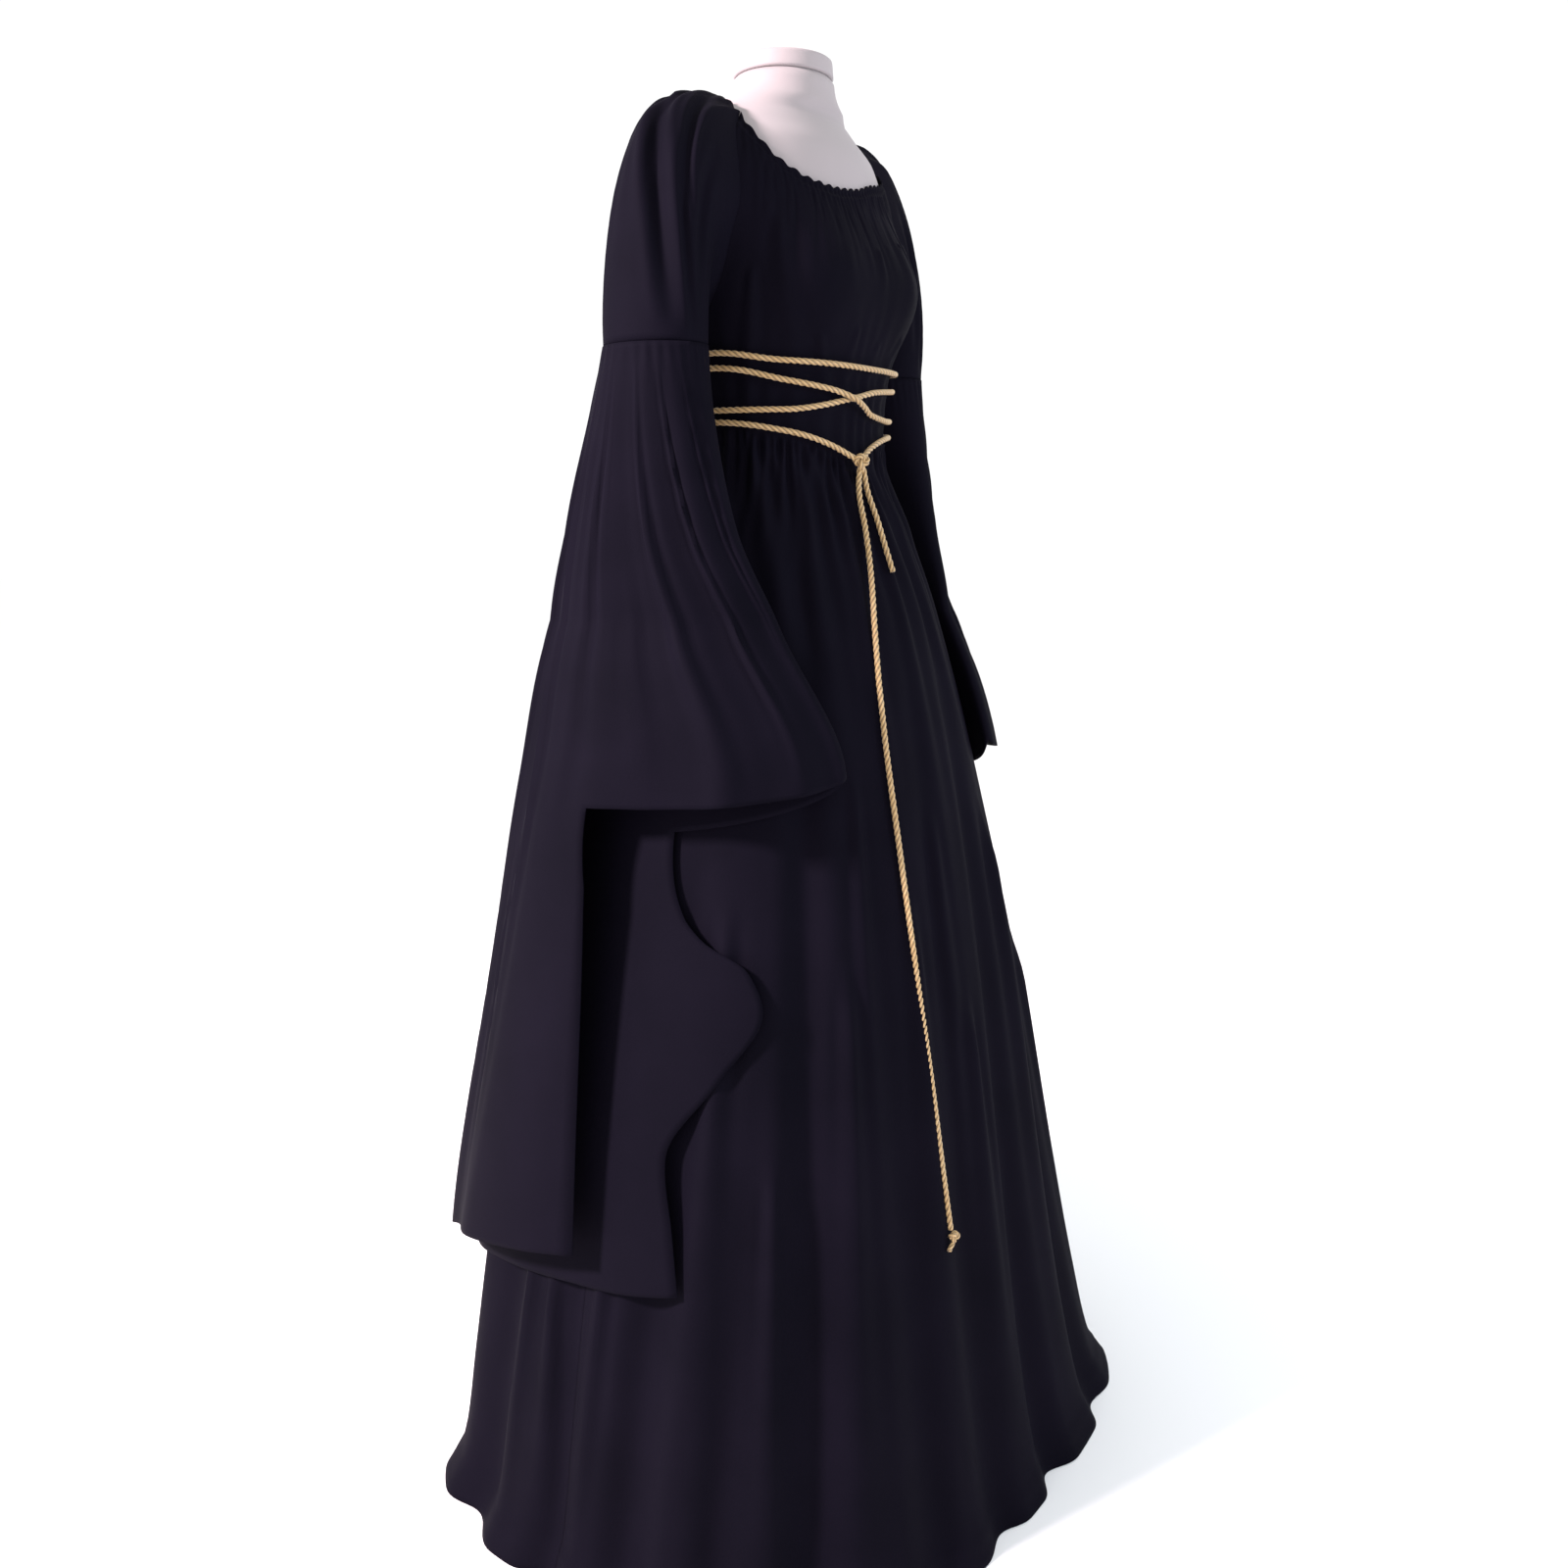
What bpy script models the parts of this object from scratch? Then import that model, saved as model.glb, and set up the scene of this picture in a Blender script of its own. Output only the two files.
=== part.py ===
"""A medieval gown with a cord belt, on a limbless dress form. Metres, +Z up.

The gown faces -Y and the wearer's left is +X. An angle is in degrees round the form,
from the centre front towards the wearer's right. The origin is the middle of the
base's underside, on the floor.
"""
import math
from bisect import bisect_right
from collections import namedtuple

import bmesh
import bpy
from mathutils import Matrix, Vector

# Driving sizes
WALL = 0.0016
SEAM = 0.0003
CORD_DIAMETER = 0.006
CORD_CLEARANCE = 0.0014
UNDERARM_HEIGHT = 1.205
ELBOW_HEIGHT = 1.18
FRONT_CORNER_HEIGHT = 1.402
BACK_NECK_HEIGHT = 1.416
SHOULDER_NECK_HEIGHT = 1.419
SIDE_ANGLE = 90.0

# Gathers: each takes two columns of its panel, one out and one in
FRONT_GATHERS = 28
BACK_GATHERS = 18
SLEEVE_GATHERS = 8
NECK_GATHER_DEPTH = 0.0022
NECK_GATHER_REACH = 0.075

# Level sections of the gown's smooth outside
Section = namedtuple("Section", "height half_width front back roundness")
GOWN = [
    Section(0.000, 0.402, 0.342, 0.300, 2.8),
    Section(0.040, 0.384, 0.326, 0.290, 2.6),
    Section(0.140, 0.366, 0.303, 0.286, 2.5),
    Section(0.260, 0.344, 0.282, 0.284, 2.4),
    Section(0.560, 0.276, 0.234, 0.240, 2.3),
    Section(0.780, 0.222, 0.192, 0.200, 2.1),
    Section(0.920, 0.182, 0.155, 0.165, 2.0),
    Section(1.010, 0.150, 0.121, 0.130, 2.0),
    Section(1.080, 0.125, 0.096, 0.100, 2.0),
    Section(1.160, 0.130, 0.100, 0.100, 2.0),
    Section(1.250, 0.146, 0.118, 0.106, 2.0),
    Section(1.337, 0.152, 0.091, 0.105, 2.0),
    Section(1.381, 0.133, 0.081, 0.097, 2.0),
    Section(1.402, 0.115, 0.071, 0.090, 2.0),
    Section(1.420, 0.098, 0.062, 0.080, 2.0),
    Section(1.430, 0.076, 0.055, 0.066, 2.0),
    Section(1.446, 0.059, 0.052, 0.056, 2.0),
    Section(1.480, 0.051, 0.050, 0.051, 2.0),
]
BUST_HEIGHT, BUST_ANGLE, BUST_SWELL = 1.25, 36.0, 0.014
BUST_SPREAD_HEIGHT, BUST_SPREAD_ANGLE = 0.055, 22.0
# Above the chest the cloth's face turns up towards the shoulders
SLOPE_START, SLOPE_RISE, SLOPE_TILT = 1.30, 0.12, 45.0

# Soft folds of the skirt, each a valley that deepens from its top to the hem
Fold = namedtuple("Fold", "top_angle hem_angle half_width depth top")
SKIRT_FOLDS = [
    Fold(-15, -6, 8, 0.018, 0.96),
    Fold(10, 14, 8, 0.014, 0.86),
    Fold(32, 30, 7, 0.012, 0.74),
    Fold(50, 51, 8, 0.022, 0.98),
    Fold(60, 65, 6, 0.014, 0.50),
    Fold(74, 79, 7, 0.018, 0.72),
    Fold(92, 92, 6, 0.014, 0.50),
    Fold(108, 110, 9, 0.022, 0.92),
    Fold(130, 131, 8, 0.018, 0.80),
    Fold(152, 153, 10, 0.022, 0.96),
    Fold(176, 174, 8, 0.016, 0.80),
    Fold(198, 197, 10, 0.022, 0.96),
    Fold(222, 221, 8, 0.018, 0.84),
    Fold(246, 245, 9, 0.022, 0.92),
    Fold(268, 267, 6, 0.014, 0.56),
    Fold(284, 282, 8, 0.018, 0.80),
    Fold(304, 306, 8, 0.020, 0.94),
    Fold(326, 330, 8, 0.016, 0.80),
]
FOLD_POWER = 0.7
Gather = namedtuple("Gather", "height depth")
WAIST_GATHERS = [
    Gather(0.86, 0.0), Gather(0.98, 0.0026), Gather(1.06, 0.0024), Gather(1.09, 0.0008),
    Gather(1.17, 0.0006), Gather(1.21, 0.0),
]
SKIRT_LEVELS = (0.0, 0.04, 0.16, 0.36, 0.58, 0.78, 0.93, 1.02, 1.08, 1.13, 1.17, UNDERARM_HEIGHT)
YOKE_SHARES = (0.0, 0.22, 0.44, 0.65, 0.84, 1.0)
YOKE_STEPS = len(YOKE_SHARES) - 1

# Raglan seams: how far round the seam lies at each share of its way up from the underarm
Raglan = namedtuple("Raglan", "share front back")
RAGLAN = [
    Raglan(0.0, 90.0, 90.0), Raglan(0.2, 79.5, 77.0), Raglan(0.4, 74.5, 70.0),
    Raglan(0.6, 71.0, 65.0), Raglan(1.0, 77.0, 62.0),
]
Arc = namedtuple("Arc", "angle height")
NECK_ARC = [
    Arc(77.0, FRONT_CORNER_HEIGHT), Arc(90.0, SHOULDER_NECK_HEIGHT), Arc(118.0, BACK_NECK_HEIGHT),
]
# The front neckline hangs a little lower on the wearer's right
NeckDip = namedtuple("NeckDip", "across height")
FRONT_NECKLINE = [
    NeckDip(-1.0, FRONT_CORNER_HEIGHT), NeckDip(-0.8, 1.378), NeckDip(-0.5, 1.360),
    NeckDip(-0.25, 1.353), NeckDip(0.0, 1.344), NeckDip(0.3, 1.340), NeckDip(0.52, 1.343),
    NeckDip(0.73, 1.357), NeckDip(0.87, 1.379), NeckDip(1.0, FRONT_CORNER_HEIGHT),
]
# Sleeve heads: how a line of cloth leaves the armhole and falls to the elbow
Head = namedtuple("Head", "share lead rise drop")
SLEEVE_HEAD = [
    Head(0.00, 0.009, 0.004, 0.016), Head(0.18, 0.040, 0.002, 0.066),
    Head(0.36, 0.080, 0.006, 0.150), Head(0.50, 0.104, 0.010, 0.185),
    Head(0.64, 0.080, 0.006, 0.150), Head(0.82, 0.040, 0.002, 0.066),
    Head(1.00, 0.009, 0.004, 0.016),
]
SEAM_SHARE = 0.36
PUFF_REACH = 0.4
HEAD_STEPS = (0.0, 0.12, 0.28, 0.47, 0.66, 0.84, 1.0)

# Level sections of the falling sleeve: its front and back folds round the skirt, and how
# far its layers stand off
Fall = namedtuple("Fall", "height front back near far squareness")
SLEEVE_FALL = [
    Fall(0.250, 40.0, 136.0, 0.006, 0.052, 2.6),
    Fall(0.560, 40.0, 134.0, 0.006, 0.066, 2.6),
    Fall(0.779, 40.0, 130.0, 0.006, 0.088, 2.5),
    Fall(0.920, 56.3, 126.0, 0.006, 0.104, 2.3),
    Fall(1.010, 67.7, 120.0, 0.006, 0.100, 2.2),
    Fall(1.110, 74.0, 113.0, 0.004, 0.095, 2.0),
    Fall(1.180, 77.0, 107.6, 0.000, 0.092, 2.0),
]
ELBOW_RADIUS = 0.152
FRONT_LEAN = 0.30
FALL_LENGTH = 0.25
HIP_HEIGHT = 0.92
SleeveFold = namedtuple("SleeveFold", "turn half_width depth")
SLEEVE_FOLDS = [
    SleeveFold(30, 16, 0.010), SleeveFold(58, 13, 0.008), SleeveFold(84, 13, 0.013),
    SleeveFold(130, 16, 0.010), SleeveFold(156, 12, 0.007), SleeveFold(236, 14, 0.003),
]
WRIST_FRONT_HEIGHT, WRIST_OUTER_HEIGHT, WRIST_INNER_HEIGHT = 0.779, 0.750, 0.725
WRIST_STEPS = (0.0, 0.14, 0.34, 0.56, 0.78, 1.0)
OUTER_COLUMNS, DROP_COLUMNS, INNER_COLUMNS = 12, 20, 8
# Below the wrist the sleeve is an open drop: the angles of its two edges, row by row
Drop = namedtuple("Drop", "inner_height inner_angle outer_angle")
SLEEVE_DROP = [
    Drop(WRIST_INNER_HEIGHT, 80.5, 94.4), Drop(0.651, 76.6, 93.4), Drop(0.628, 72.0, 93.1),
    Drop(0.601, 62.1, 92.7), Drop(0.564, 59.0, 92.2), Drop(0.501, 66.8, 91.3),
    Drop(0.426, 75.7, 90.2), Drop(0.360, 73.5, 89.2), Drop(0.304, 71.8, 88.4),
]
DropHem = namedtuple("DropHem", "across height")
DROP_HEM = [
    DropHem(0.0, 0.332), DropHem(0.15, 0.298), DropHem(0.35, 0.256), DropHem(0.5, 0.246),
    DropHem(0.65, 0.254), DropHem(0.85, 0.280), DropHem(1.0, 0.304),
]

# Cord belt: four turns from the knot's right, round to its left
Spot = namedtuple("Spot", "angle height lift")
OVER = 0.0066
BELT_ROUTE = [
    Spot(8.5, 1.078, 0.004), Spot(30, 1.094, 0.0), Spot(55, 1.106, 0.0), Spot(90, 1.114, 0.0),
    Spot(148, 1.113, 0.0), Spot(180, 1.120, OVER), Spot(212, 1.129, 0.0),
    Spot(270, 1.130, 0.0), Spot(330, 1.122, 0.0), Spot(354, 1.125, 0.0),
    Spot(365, 1.132, 0.003), Spot(375.6, 1.139, OVER), Spot(386, 1.145, 0.003),
    Spot(415, 1.154, 0.0), Spot(447, 1.165, 0.0), Spot(508, 1.165, 0.0),
    Spot(540, 1.172, 0.0), Spot(572, 1.179, 0.0), Spot(630, 1.179, 0.0),
    Spot(690, 1.171, 0.0), Spot(720, 1.170, 0.0), Spot(775, 1.172, 0.0),
    Spot(807, 1.179, 0.0), Spot(868, 1.179, 0.0), Spot(900, 1.172, OVER),
    Spot(932, 1.165, 0.0), Spot(990, 1.162, 0.0), Spot(1050, 1.152, 0.0),
    Spot(1072, 1.148, 0.0), Spot(1095.6, 1.139, 0.0), Spot(1135, 1.126, 0.0),
    Spot(1170, 1.125, 0.0), Spot(1228, 1.125, 0.0), Spot(1260, 1.119, 0.0),
    Spot(1292, 1.112, 0.0), Spot(1350, 1.112, 0.0), Spot(1410, 1.104, 0.0),
    Spot(1431.5, 1.094, 0.0), Spot(1448.5, 1.078, 0.004),
]
BELT_SPACING = 0.020
KNOT = Spot(8.5, 1.078, 0.006)
KNOT_RADIUS = 0.0095
KNOT_GAP = 0.0011
LONG_END_ROUTE = [
    Spot(10.2, 1.065, 0.003), Spot(14.0, 1.035, 0.0), Spot(17.0, 0.992, 0.0),
    Spot(22.2, 0.916, 0.0), Spot(24.0, 0.850, 0.0), Spot(24.6, 0.789, 0.0),
    Spot(24.0, 0.689, 0.0), Spot(22.8, 0.578, 0.0), Spot(21.4, 0.476, 0.0),
    Spot(20.3, 0.380, 0.0), Spot(19.6, 0.324, 0.0),
]
SHORT_END_ROUTE = [
    Spot(5.4, 1.065, 0.003), Spot(5.0, 1.040, 0.0), Spot(5.2, 1.010, 0.0),
    Spot(5.2, 0.968, 0.0),
]
END_SPACING = 0.016
TIP_KNOT_RADIUS = 0.006

# Dress form: how far its smooth torso lies inside the cloth, and its shoulders
Inset = namedtuple("Inset", "height front side shoulder")
FORM_INSET = [
    Inset(0.86, 0.034, 0.034, 0.0), Inset(1.02, 0.016, 0.016, 0.0), Inset(1.08, 0.008, 0.008, 0.0),
    Inset(1.16, 0.008, 0.008, 0.0), Inset(1.25, 0.006, 0.008, 0.002),
    Inset(1.30, 0.003, 0.008, 0.010), Inset(1.344, 0.0009, 0.006, 0.022),
    Inset(1.365, 0.0014, 0.006, 0.030), Inset(1.385, 0.003, 0.006, 0.030),
    Inset(1.402, 0.006, 0.010, 0.018), Inset(1.42, 0.010, 0.012, 0.004),
    Inset(1.43, 0.0, 0.0, 0.0), Inset(1.48, 0.0, 0.0, 0.0),
]
SHOULDER_ANGLE, SHOULDER_SPREAD = 97.0, 11.0
FORM_LEVELS = (0.86, 0.92, 1.0, 1.07, 1.14, 1.20, 1.25, 1.30, 1.337, 1.36, 1.381, 1.402,
               1.418, 1.43, 1.446, 1.46)
FORM_SIDES = 36
NECK_CAP_LEVELS = (1.4603, 1.474, 1.478)
NECK_CAP_EDGE = 0.003
POLE_RADIUS = 0.0125
BASE_RADIUS, BASE_THICKNESS, BASE_EDGE = 0.17, 0.020, 0.006

Finish = namedtuple("Finish", "colour roughness metallic")
CLOTH = Finish((0.0060, 0.0052, 0.0105), 0.75, 0.0)
CORD = Finish((0.58, 0.38, 0.16), 0.40, 0.0)
FORM = Finish((0.61, 0.53, 0.54), 0.65, 0.0)
METAL = Finish((0.02, 0.02, 0.022), 0.45, 0.8)


def curve(places, values, place):
    """Reads a smooth curve through the values, which never overshoots them."""
    last = len(places) - 1
    if place <= places[0]:
        return values[0]
    if place >= places[last]:
        return values[last]

    def rise(k):
        return (values[k + 1] - values[k]) / (places[k + 1] - places[k])

    def slope(k):
        if k in (0, last):
            return rise(min(k, last - 1))
        before, after = rise(k - 1), rise(k)
        return 2 * before * after / (before + after) if before * after > 0 else 0.0

    k = bisect_right(places, place) - 1
    width = places[k + 1] - places[k]
    t = (place - places[k]) / width
    return (values[k] * (1 + 2 * t) * (1 - t) ** 2 + values[k + 1] * (3 - 2 * t) * t * t
            + width * (slope(k) * t * (1 - t) ** 2 - slope(k + 1) * t * t * (1 - t)))


def read(table, place):
    """A table's row at any place between its first and last rows."""
    places = [row[0] for row in table]
    return type(table[0])(*[curve(places, column, place) for column in zip(*table)])


def bell(distance, spread):
    return math.exp(-(distance / spread) ** 2)


def turn_between(angle, other):
    """The shorter way round from one angle to the other, in degrees."""
    return (angle - other + 180) % 360 - 180


def place_at(angle, height, radius):
    turn = math.radians(angle)
    return Vector((-radius * math.sin(turn), -radius * math.cos(turn), height))


def gown_radius(angle, height):
    """The smooth outside of the gown, before its folds and gathers."""
    row = read(GOWN, height)
    side, fore = math.sin(math.radians(angle)), math.cos(math.radians(angle))
    depth = row.front if fore > 0 else row.back
    reach = abs(side / row.half_width) ** row.roundness + abs(fore / depth) ** row.roundness
    bust = sum(bell(turn_between(angle, way * BUST_ANGLE), BUST_SPREAD_ANGLE) for way in (-1, 1))
    swell = BUST_SWELL * bust * bell(height - BUST_HEIGHT, BUST_SPREAD_HEIGHT)
    return reach ** (-1 / row.roundness) + swell


def fold_depth(angle, height):
    """How deep the skirt's folds press in at a place."""
    depth = 0.0
    for fold in SKIRT_FOLDS:
        up = height / fold.top
        centre = fold.hem_angle + (fold.top_angle - fold.hem_angle) * up
        away = abs(turn_between(angle, centre)) / fold.half_width
        if up < 1 and away < 1:
            depth += fold.depth * (1 - up) ** FOLD_POWER * 0.5 * (1 + math.cos(math.pi * away))
    return depth


def inward(angle, height):
    """The way from the cloth's outside to its inside, tilted down where shoulders slope."""
    up = min(1.0, max(0.0, (height - SLOPE_START) / SLOPE_RISE))
    tilt = math.radians(SLOPE_TILT) * up
    return -place_at(angle, 0, math.cos(tilt)) - Vector((0, 0, math.sin(tilt)))


def make_material(name, finish):
    material = bpy.data.materials.get(name) or bpy.data.materials.new(name)
    material.use_nodes = True
    shader = material.node_tree.nodes["Principled BSDF"]
    shader.inputs["Base Color"].default_value = (*finish.colour, 1)
    shader.inputs["Roughness"].default_value = finish.roughness
    shader.inputs["Metallic"].default_value = finish.metallic
    return material


def add_object(name, data, finish):
    item = bpy.data.objects.new(name, data)
    data.materials.append(make_material(name + "_finish", finish))
    bpy.context.scene.collection.objects.link(item)
    return item


def add_mesh(name, points, faces, finish):
    mesh = bpy.data.meshes.new(name)
    mesh.from_pydata(points, [], faces)
    mesh.shade_smooth()
    return add_object(name, mesh, finish)


def grid_cells(rows, columns, closed=False):
    """Triangles of a sheet of points in rows, seen from its outside when the rows fall."""
    cells = []
    width = columns if closed else columns + 1
    for row in range(rows):
        for column in range(columns):
            a, b = row * width + column, row * width + (column + 1) % width
            c, d = b + width, a + width
            cells += [(a, b, c), (a, c, d)]
    return cells


def out_directions(points, cells):
    """The outward direction at each point of a sheet."""
    out = [Vector((0, 0, 0)) for _ in points]
    for cell in cells:
        a, b, c = (points[i] for i in cell)
        face = (b - a).cross(c - a)
        for i in cell:
            out[i] += face
    return [direction.normalized() for direction in out]


def add_wall(name, outer, inner, cells, finish):
    """Closes a sheet into a wall: its two faces, and a rim along each open edge."""
    count = len(outer)
    faces = list(cells) + [tuple(count + i for i in reversed(cell)) for cell in cells]
    edges = {(cell[k - 1], cell[k]) for cell in cells for k in range(3)}
    for a, b in sorted(edges):
        if (b, a) not in edges:
            faces += [(b, a, count + a), (b, count + a, count + b)]
    return add_mesh(name, outer + inner, faces, finish)


def panel_place(across, share, centre):
    """Angle and height on a front or back panel above the underarm."""
    row = read(RAGLAN, share)
    if centre == 0:
        limit = row.front
        top = read(FRONT_NECKLINE, across).height
    else:
        limit = row.back
        top = BACK_NECK_HEIGHT
    return centre + across * limit, UNDERARM_HEIGHT + share * (top - UNDERARM_HEIGHT), top


def add_panel(name, centre, gathers):
    """A front or back, cut in one from neckline to hem."""
    columns = 2 * gathers
    side = -1 if centre == 0 else 1
    outer, inner = [], []
    for step in range(YOKE_STEPS, -len(SKIRT_LEVELS), -1):
        for column in range(columns + 1):
            across = 2 * column / columns - 1
            if step > 0:
                angle, height, top = panel_place(across, YOKE_SHARES[step], centre)
                drop = min(1.0, (top - height) / NECK_GATHER_REACH)
                gather = NECK_GATHER_DEPTH * (1 - drop) ** 2
            else:
                angle, height = centre + across * SIDE_ANGLE, SKIRT_LEVELS[step - 1]
                gather = read(WAIST_GATHERS, height).depth
            radius = gown_radius(angle, height) - fold_depth(angle, height) + gather * (column % 2)
            point = place_at(angle, height, radius)
            if step <= 0 and abs(across) == 1:
                point.y = side * SEAM / 2
            outer.append(point)
            inner.append(point + WALL * inward(angle, height))
    return add_wall(name, outer, inner, grid_cells(len(outer) // (columns + 1) - 1, columns), CLOTH)


def mirrored(points):
    return [Vector((-point.x, point.y, point.z)) for point in points]


def add_sleeve_pair(name, outer, inner, cells):
    """The right sleeve piece as worked out, and the left one as its mirror."""
    add_wall(name + "_right", outer, inner, cells, CLOTH)
    turned = [tuple(reversed(cell)) for cell in cells]
    add_wall(name + "_left", mirrored(outer), mirrored(inner), turned, CLOTH)


def armhole():
    """Places round the right armhole: front seam, neckline and back seam."""
    places = []
    for step in range(YOKE_STEPS + 1):
        share = YOKE_SHARES[step]
        height = UNDERARM_HEIGHT + share * (FRONT_CORNER_HEIGHT - UNDERARM_HEIGHT)
        places.append((read(RAGLAN, share).front, height, SEAM_SHARE * share))
    arc_columns = 2 * SLEEVE_GATHERS
    for step in range(1, arc_columns):
        along = step / arc_columns
        angle = NECK_ARC[0].angle + (NECK_ARC[-1].angle - NECK_ARC[0].angle) * along
        turn = SEAM_SHARE + (1 - 2 * SEAM_SHARE) * along
        places.append((angle, read(NECK_ARC, angle).height, turn))
    for step in range(YOKE_STEPS, 0, -1):
        share = YOKE_SHARES[step]
        height = UNDERARM_HEIGHT + share * (BACK_NECK_HEIGHT - UNDERARM_HEIGHT)
        places.append((180 - read(RAGLAN, share).back, height, 1 - SEAM_SHARE * share))
    return places


def sleeve_point(turn, height):
    """A place on the falling sleeve; turn 0 is its front fold, 90 its outer layer."""
    row = read(SLEEVE_FALL, height)
    power = 2 / row.squareness
    along, out = -math.cos(math.radians(turn)), math.sin(math.radians(turn))
    span = math.copysign(abs(along) ** power, along)
    layer = math.copysign(abs(out) ** power, out)
    angle = (row.front + row.back) / 2 + (row.back - row.front) / 2 * span
    fall = min(1.0, (ELBOW_HEIGHT - height) / FALL_LENGTH)
    for fold in SLEEVE_FOLDS:
        away = abs(turn_between(turn, fold.turn)) / fold.half_width
        if away < 1:
            layer -= (math.copysign(1, out) * fold.depth * fall * (1 + math.cos(math.pi * away))
                      / (row.far - row.near))
    lean = 1 - FRONT_LEAN * fall * (1 - span)
    stand = row.near + (row.far - row.near) * lean * (1 + layer) / 2
    return place_at(angle, height, hang_radius(angle, height) + stand)


def hang_radius(angle, height):
    """Where the sleeve hangs: on the skirt, and above the hips straight from the elbow."""
    if height <= HIP_HEIGHT:
        return gown_radius(angle, height)
    up = (height - HIP_HEIGHT) / (ELBOW_HEIGHT - HIP_HEIGHT)
    return gown_radius(angle, HIP_HEIGHT) * (1 - up) + ELBOW_RADIUS * up


def turn_at(angle, height, outer):
    """The turn round the falling sleeve at which a layer meets an angle."""
    row = read(SLEEVE_FALL, height)
    span = (angle - (row.front + row.back) / 2) / ((row.back - row.front) / 2)
    turn = math.degrees(math.acos(-math.copysign(abs(span) ** (row.squareness / 2), span)))
    return turn if outer else 360 - turn


def add_upper_sleeves():
    """Raglan sleeve heads, from the armhole and neckline to the elbow seam."""
    places = armhole()
    count = len(places)
    start = [place_at(angle, height, gown_radius(angle, height)) for angle, height, _ in places]
    corners = (YOKE_STEPS, count - YOKE_STEPS)
    clear = []
    for k, (angle, height, _) in enumerate(places):
        on_seam = k <= corners[0] or k >= corners[1]
        before = start[k] if k == corners[1] else start[k - 1]
        after = start[k] if k == corners[0] else start[(k + 1) % count]
        way = (after - before).cross(inward(angle, height)).normalized()
        if k == 0:
            way = Vector((0, 0, 1))
        clear.append(way if on_seam else None)
    rows = []
    for t in HEAD_STEPS:
        row = []
        for k, (_, _, share) in enumerate(places):
            head = read(SLEEVE_HEAD, share)
            first = start[k] + (clear[k] * SEAM if clear[k] else Vector((0, 0, 0)))
            last = sleeve_point(360 * share - 90, ELBOW_HEIGHT + SEAM / 2)
            lead = first + Vector((-head.lead, 0, head.rise))
            drop = last + Vector((0, 0, head.drop))
            row.append(first * (1 - t) ** 3 + lead * 3 * t * (1 - t) ** 2
                       + drop * 3 * t * t * (1 - t) + last * t ** 3)
        rows.append(row)
    points = [point for row in rows for point in row]
    cells = grid_cells(len(rows) - 1, count, closed=True)
    out = out_directions(points, cells)
    outer, inner = [], []
    for i, point in enumerate(points):
        row, k = divmod(i, count)
        way = -out[i]
        if row == 0 and clear[k]:
            way -= min(0.0, way.dot(clear[k])) * clear[k]
        if row == len(rows) - 1:
            way.z = 0
        way.normalize()
        gathered = corners[0] < k < corners[1] and (k - corners[0]) % 2
        puff = NECK_GATHER_DEPTH * max(0.0, 1 - HEAD_STEPS[row] / PUFF_REACH) if gathered else 0.0
        outer.append(point - puff * way)
        inner.append(point + (WALL - puff) * way)
    add_sleeve_pair("sleeve_upper", outer, inner, cells)


def add_lower_sleeves():
    """Falling sleeves: a tube from elbow to wrist, then an open drop to a low hem."""
    top_turn = turn_at(SLEEVE_DROP[0].outer_angle, WRIST_OUTER_HEIGHT, True)
    end_turn = turn_at(SLEEVE_DROP[0].inner_angle, WRIST_INNER_HEIGHT, False)
    stretches = [
        (OUTER_COLUMNS, 0.0, top_turn, WRIST_FRONT_HEIGHT, WRIST_OUTER_HEIGHT),
        (DROP_COLUMNS, top_turn, end_turn, WRIST_OUTER_HEIGHT, WRIST_INNER_HEIGHT),
        (INNER_COLUMNS, end_turn, 360.0, WRIST_INNER_HEIGHT, WRIST_FRONT_HEIGHT),
    ]
    ends = []
    for columns, first, last, from_height, to_height in stretches:
        for k in range(columns):
            share = k / columns
            ends.append((first + (last - first) * share,
                         from_height + (to_height - from_height) * share))
    elbow = ELBOW_HEIGHT - SEAM / 2
    points = [sleeve_point(turn, elbow + (end - elbow) * fall)
              for fall in WRIST_STEPS for turn, end in ends]
    count = len(ends)
    cells = grid_cells(len(WRIST_STEPS) - 1, count, closed=True)
    above = [(len(WRIST_STEPS) - 1) * count + OUTER_COLUMNS + k for k in range(DROP_COLUMNS + 1)]
    for edge in SLEEVE_DROP[1:]:
        fall = ((WRIST_INNER_HEIGHT - edge.inner_height)
                / (WRIST_INNER_HEIGHT - SLEEVE_DROP[-1].inner_height))
        below = []
        for k in range(DROP_COLUMNS + 1):
            across = k / DROP_COLUMNS
            top = WRIST_OUTER_HEIGHT + (WRIST_INNER_HEIGHT - WRIST_OUTER_HEIGHT) * across
            height = top + (read(DROP_HEM, across).height - top) * fall
            first = turn_at(edge.outer_angle, height, True)
            last = turn_at(edge.inner_angle, height, False)
            below.append(len(points))
            points.append(sleeve_point(first + (last - first) * across, height))
        for k in range(DROP_COLUMNS):
            a, b, c, d = above[k], above[k + 1], below[k + 1], below[k]
            cells += [(a, b, c), (a, c, d)]
        above = below
    inner = []
    for i, out in enumerate(out_directions(points, cells)):
        if i < count:
            out.z = 0
        inner.append(points[i] - WALL * out.normalized())
    add_sleeve_pair("sleeve_lower", points, inner, cells)


def cord_place(spot):
    """The middle of a cord that lies on the gown at a spot."""
    gather = read(WAIST_GATHERS, spot.height).depth
    rest = gown_radius(spot.angle, spot.height) + gather + CORD_CLEARANCE + CORD_DIAMETER / 2
    return place_at(spot.angle, spot.height, rest + spot.lift)


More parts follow.
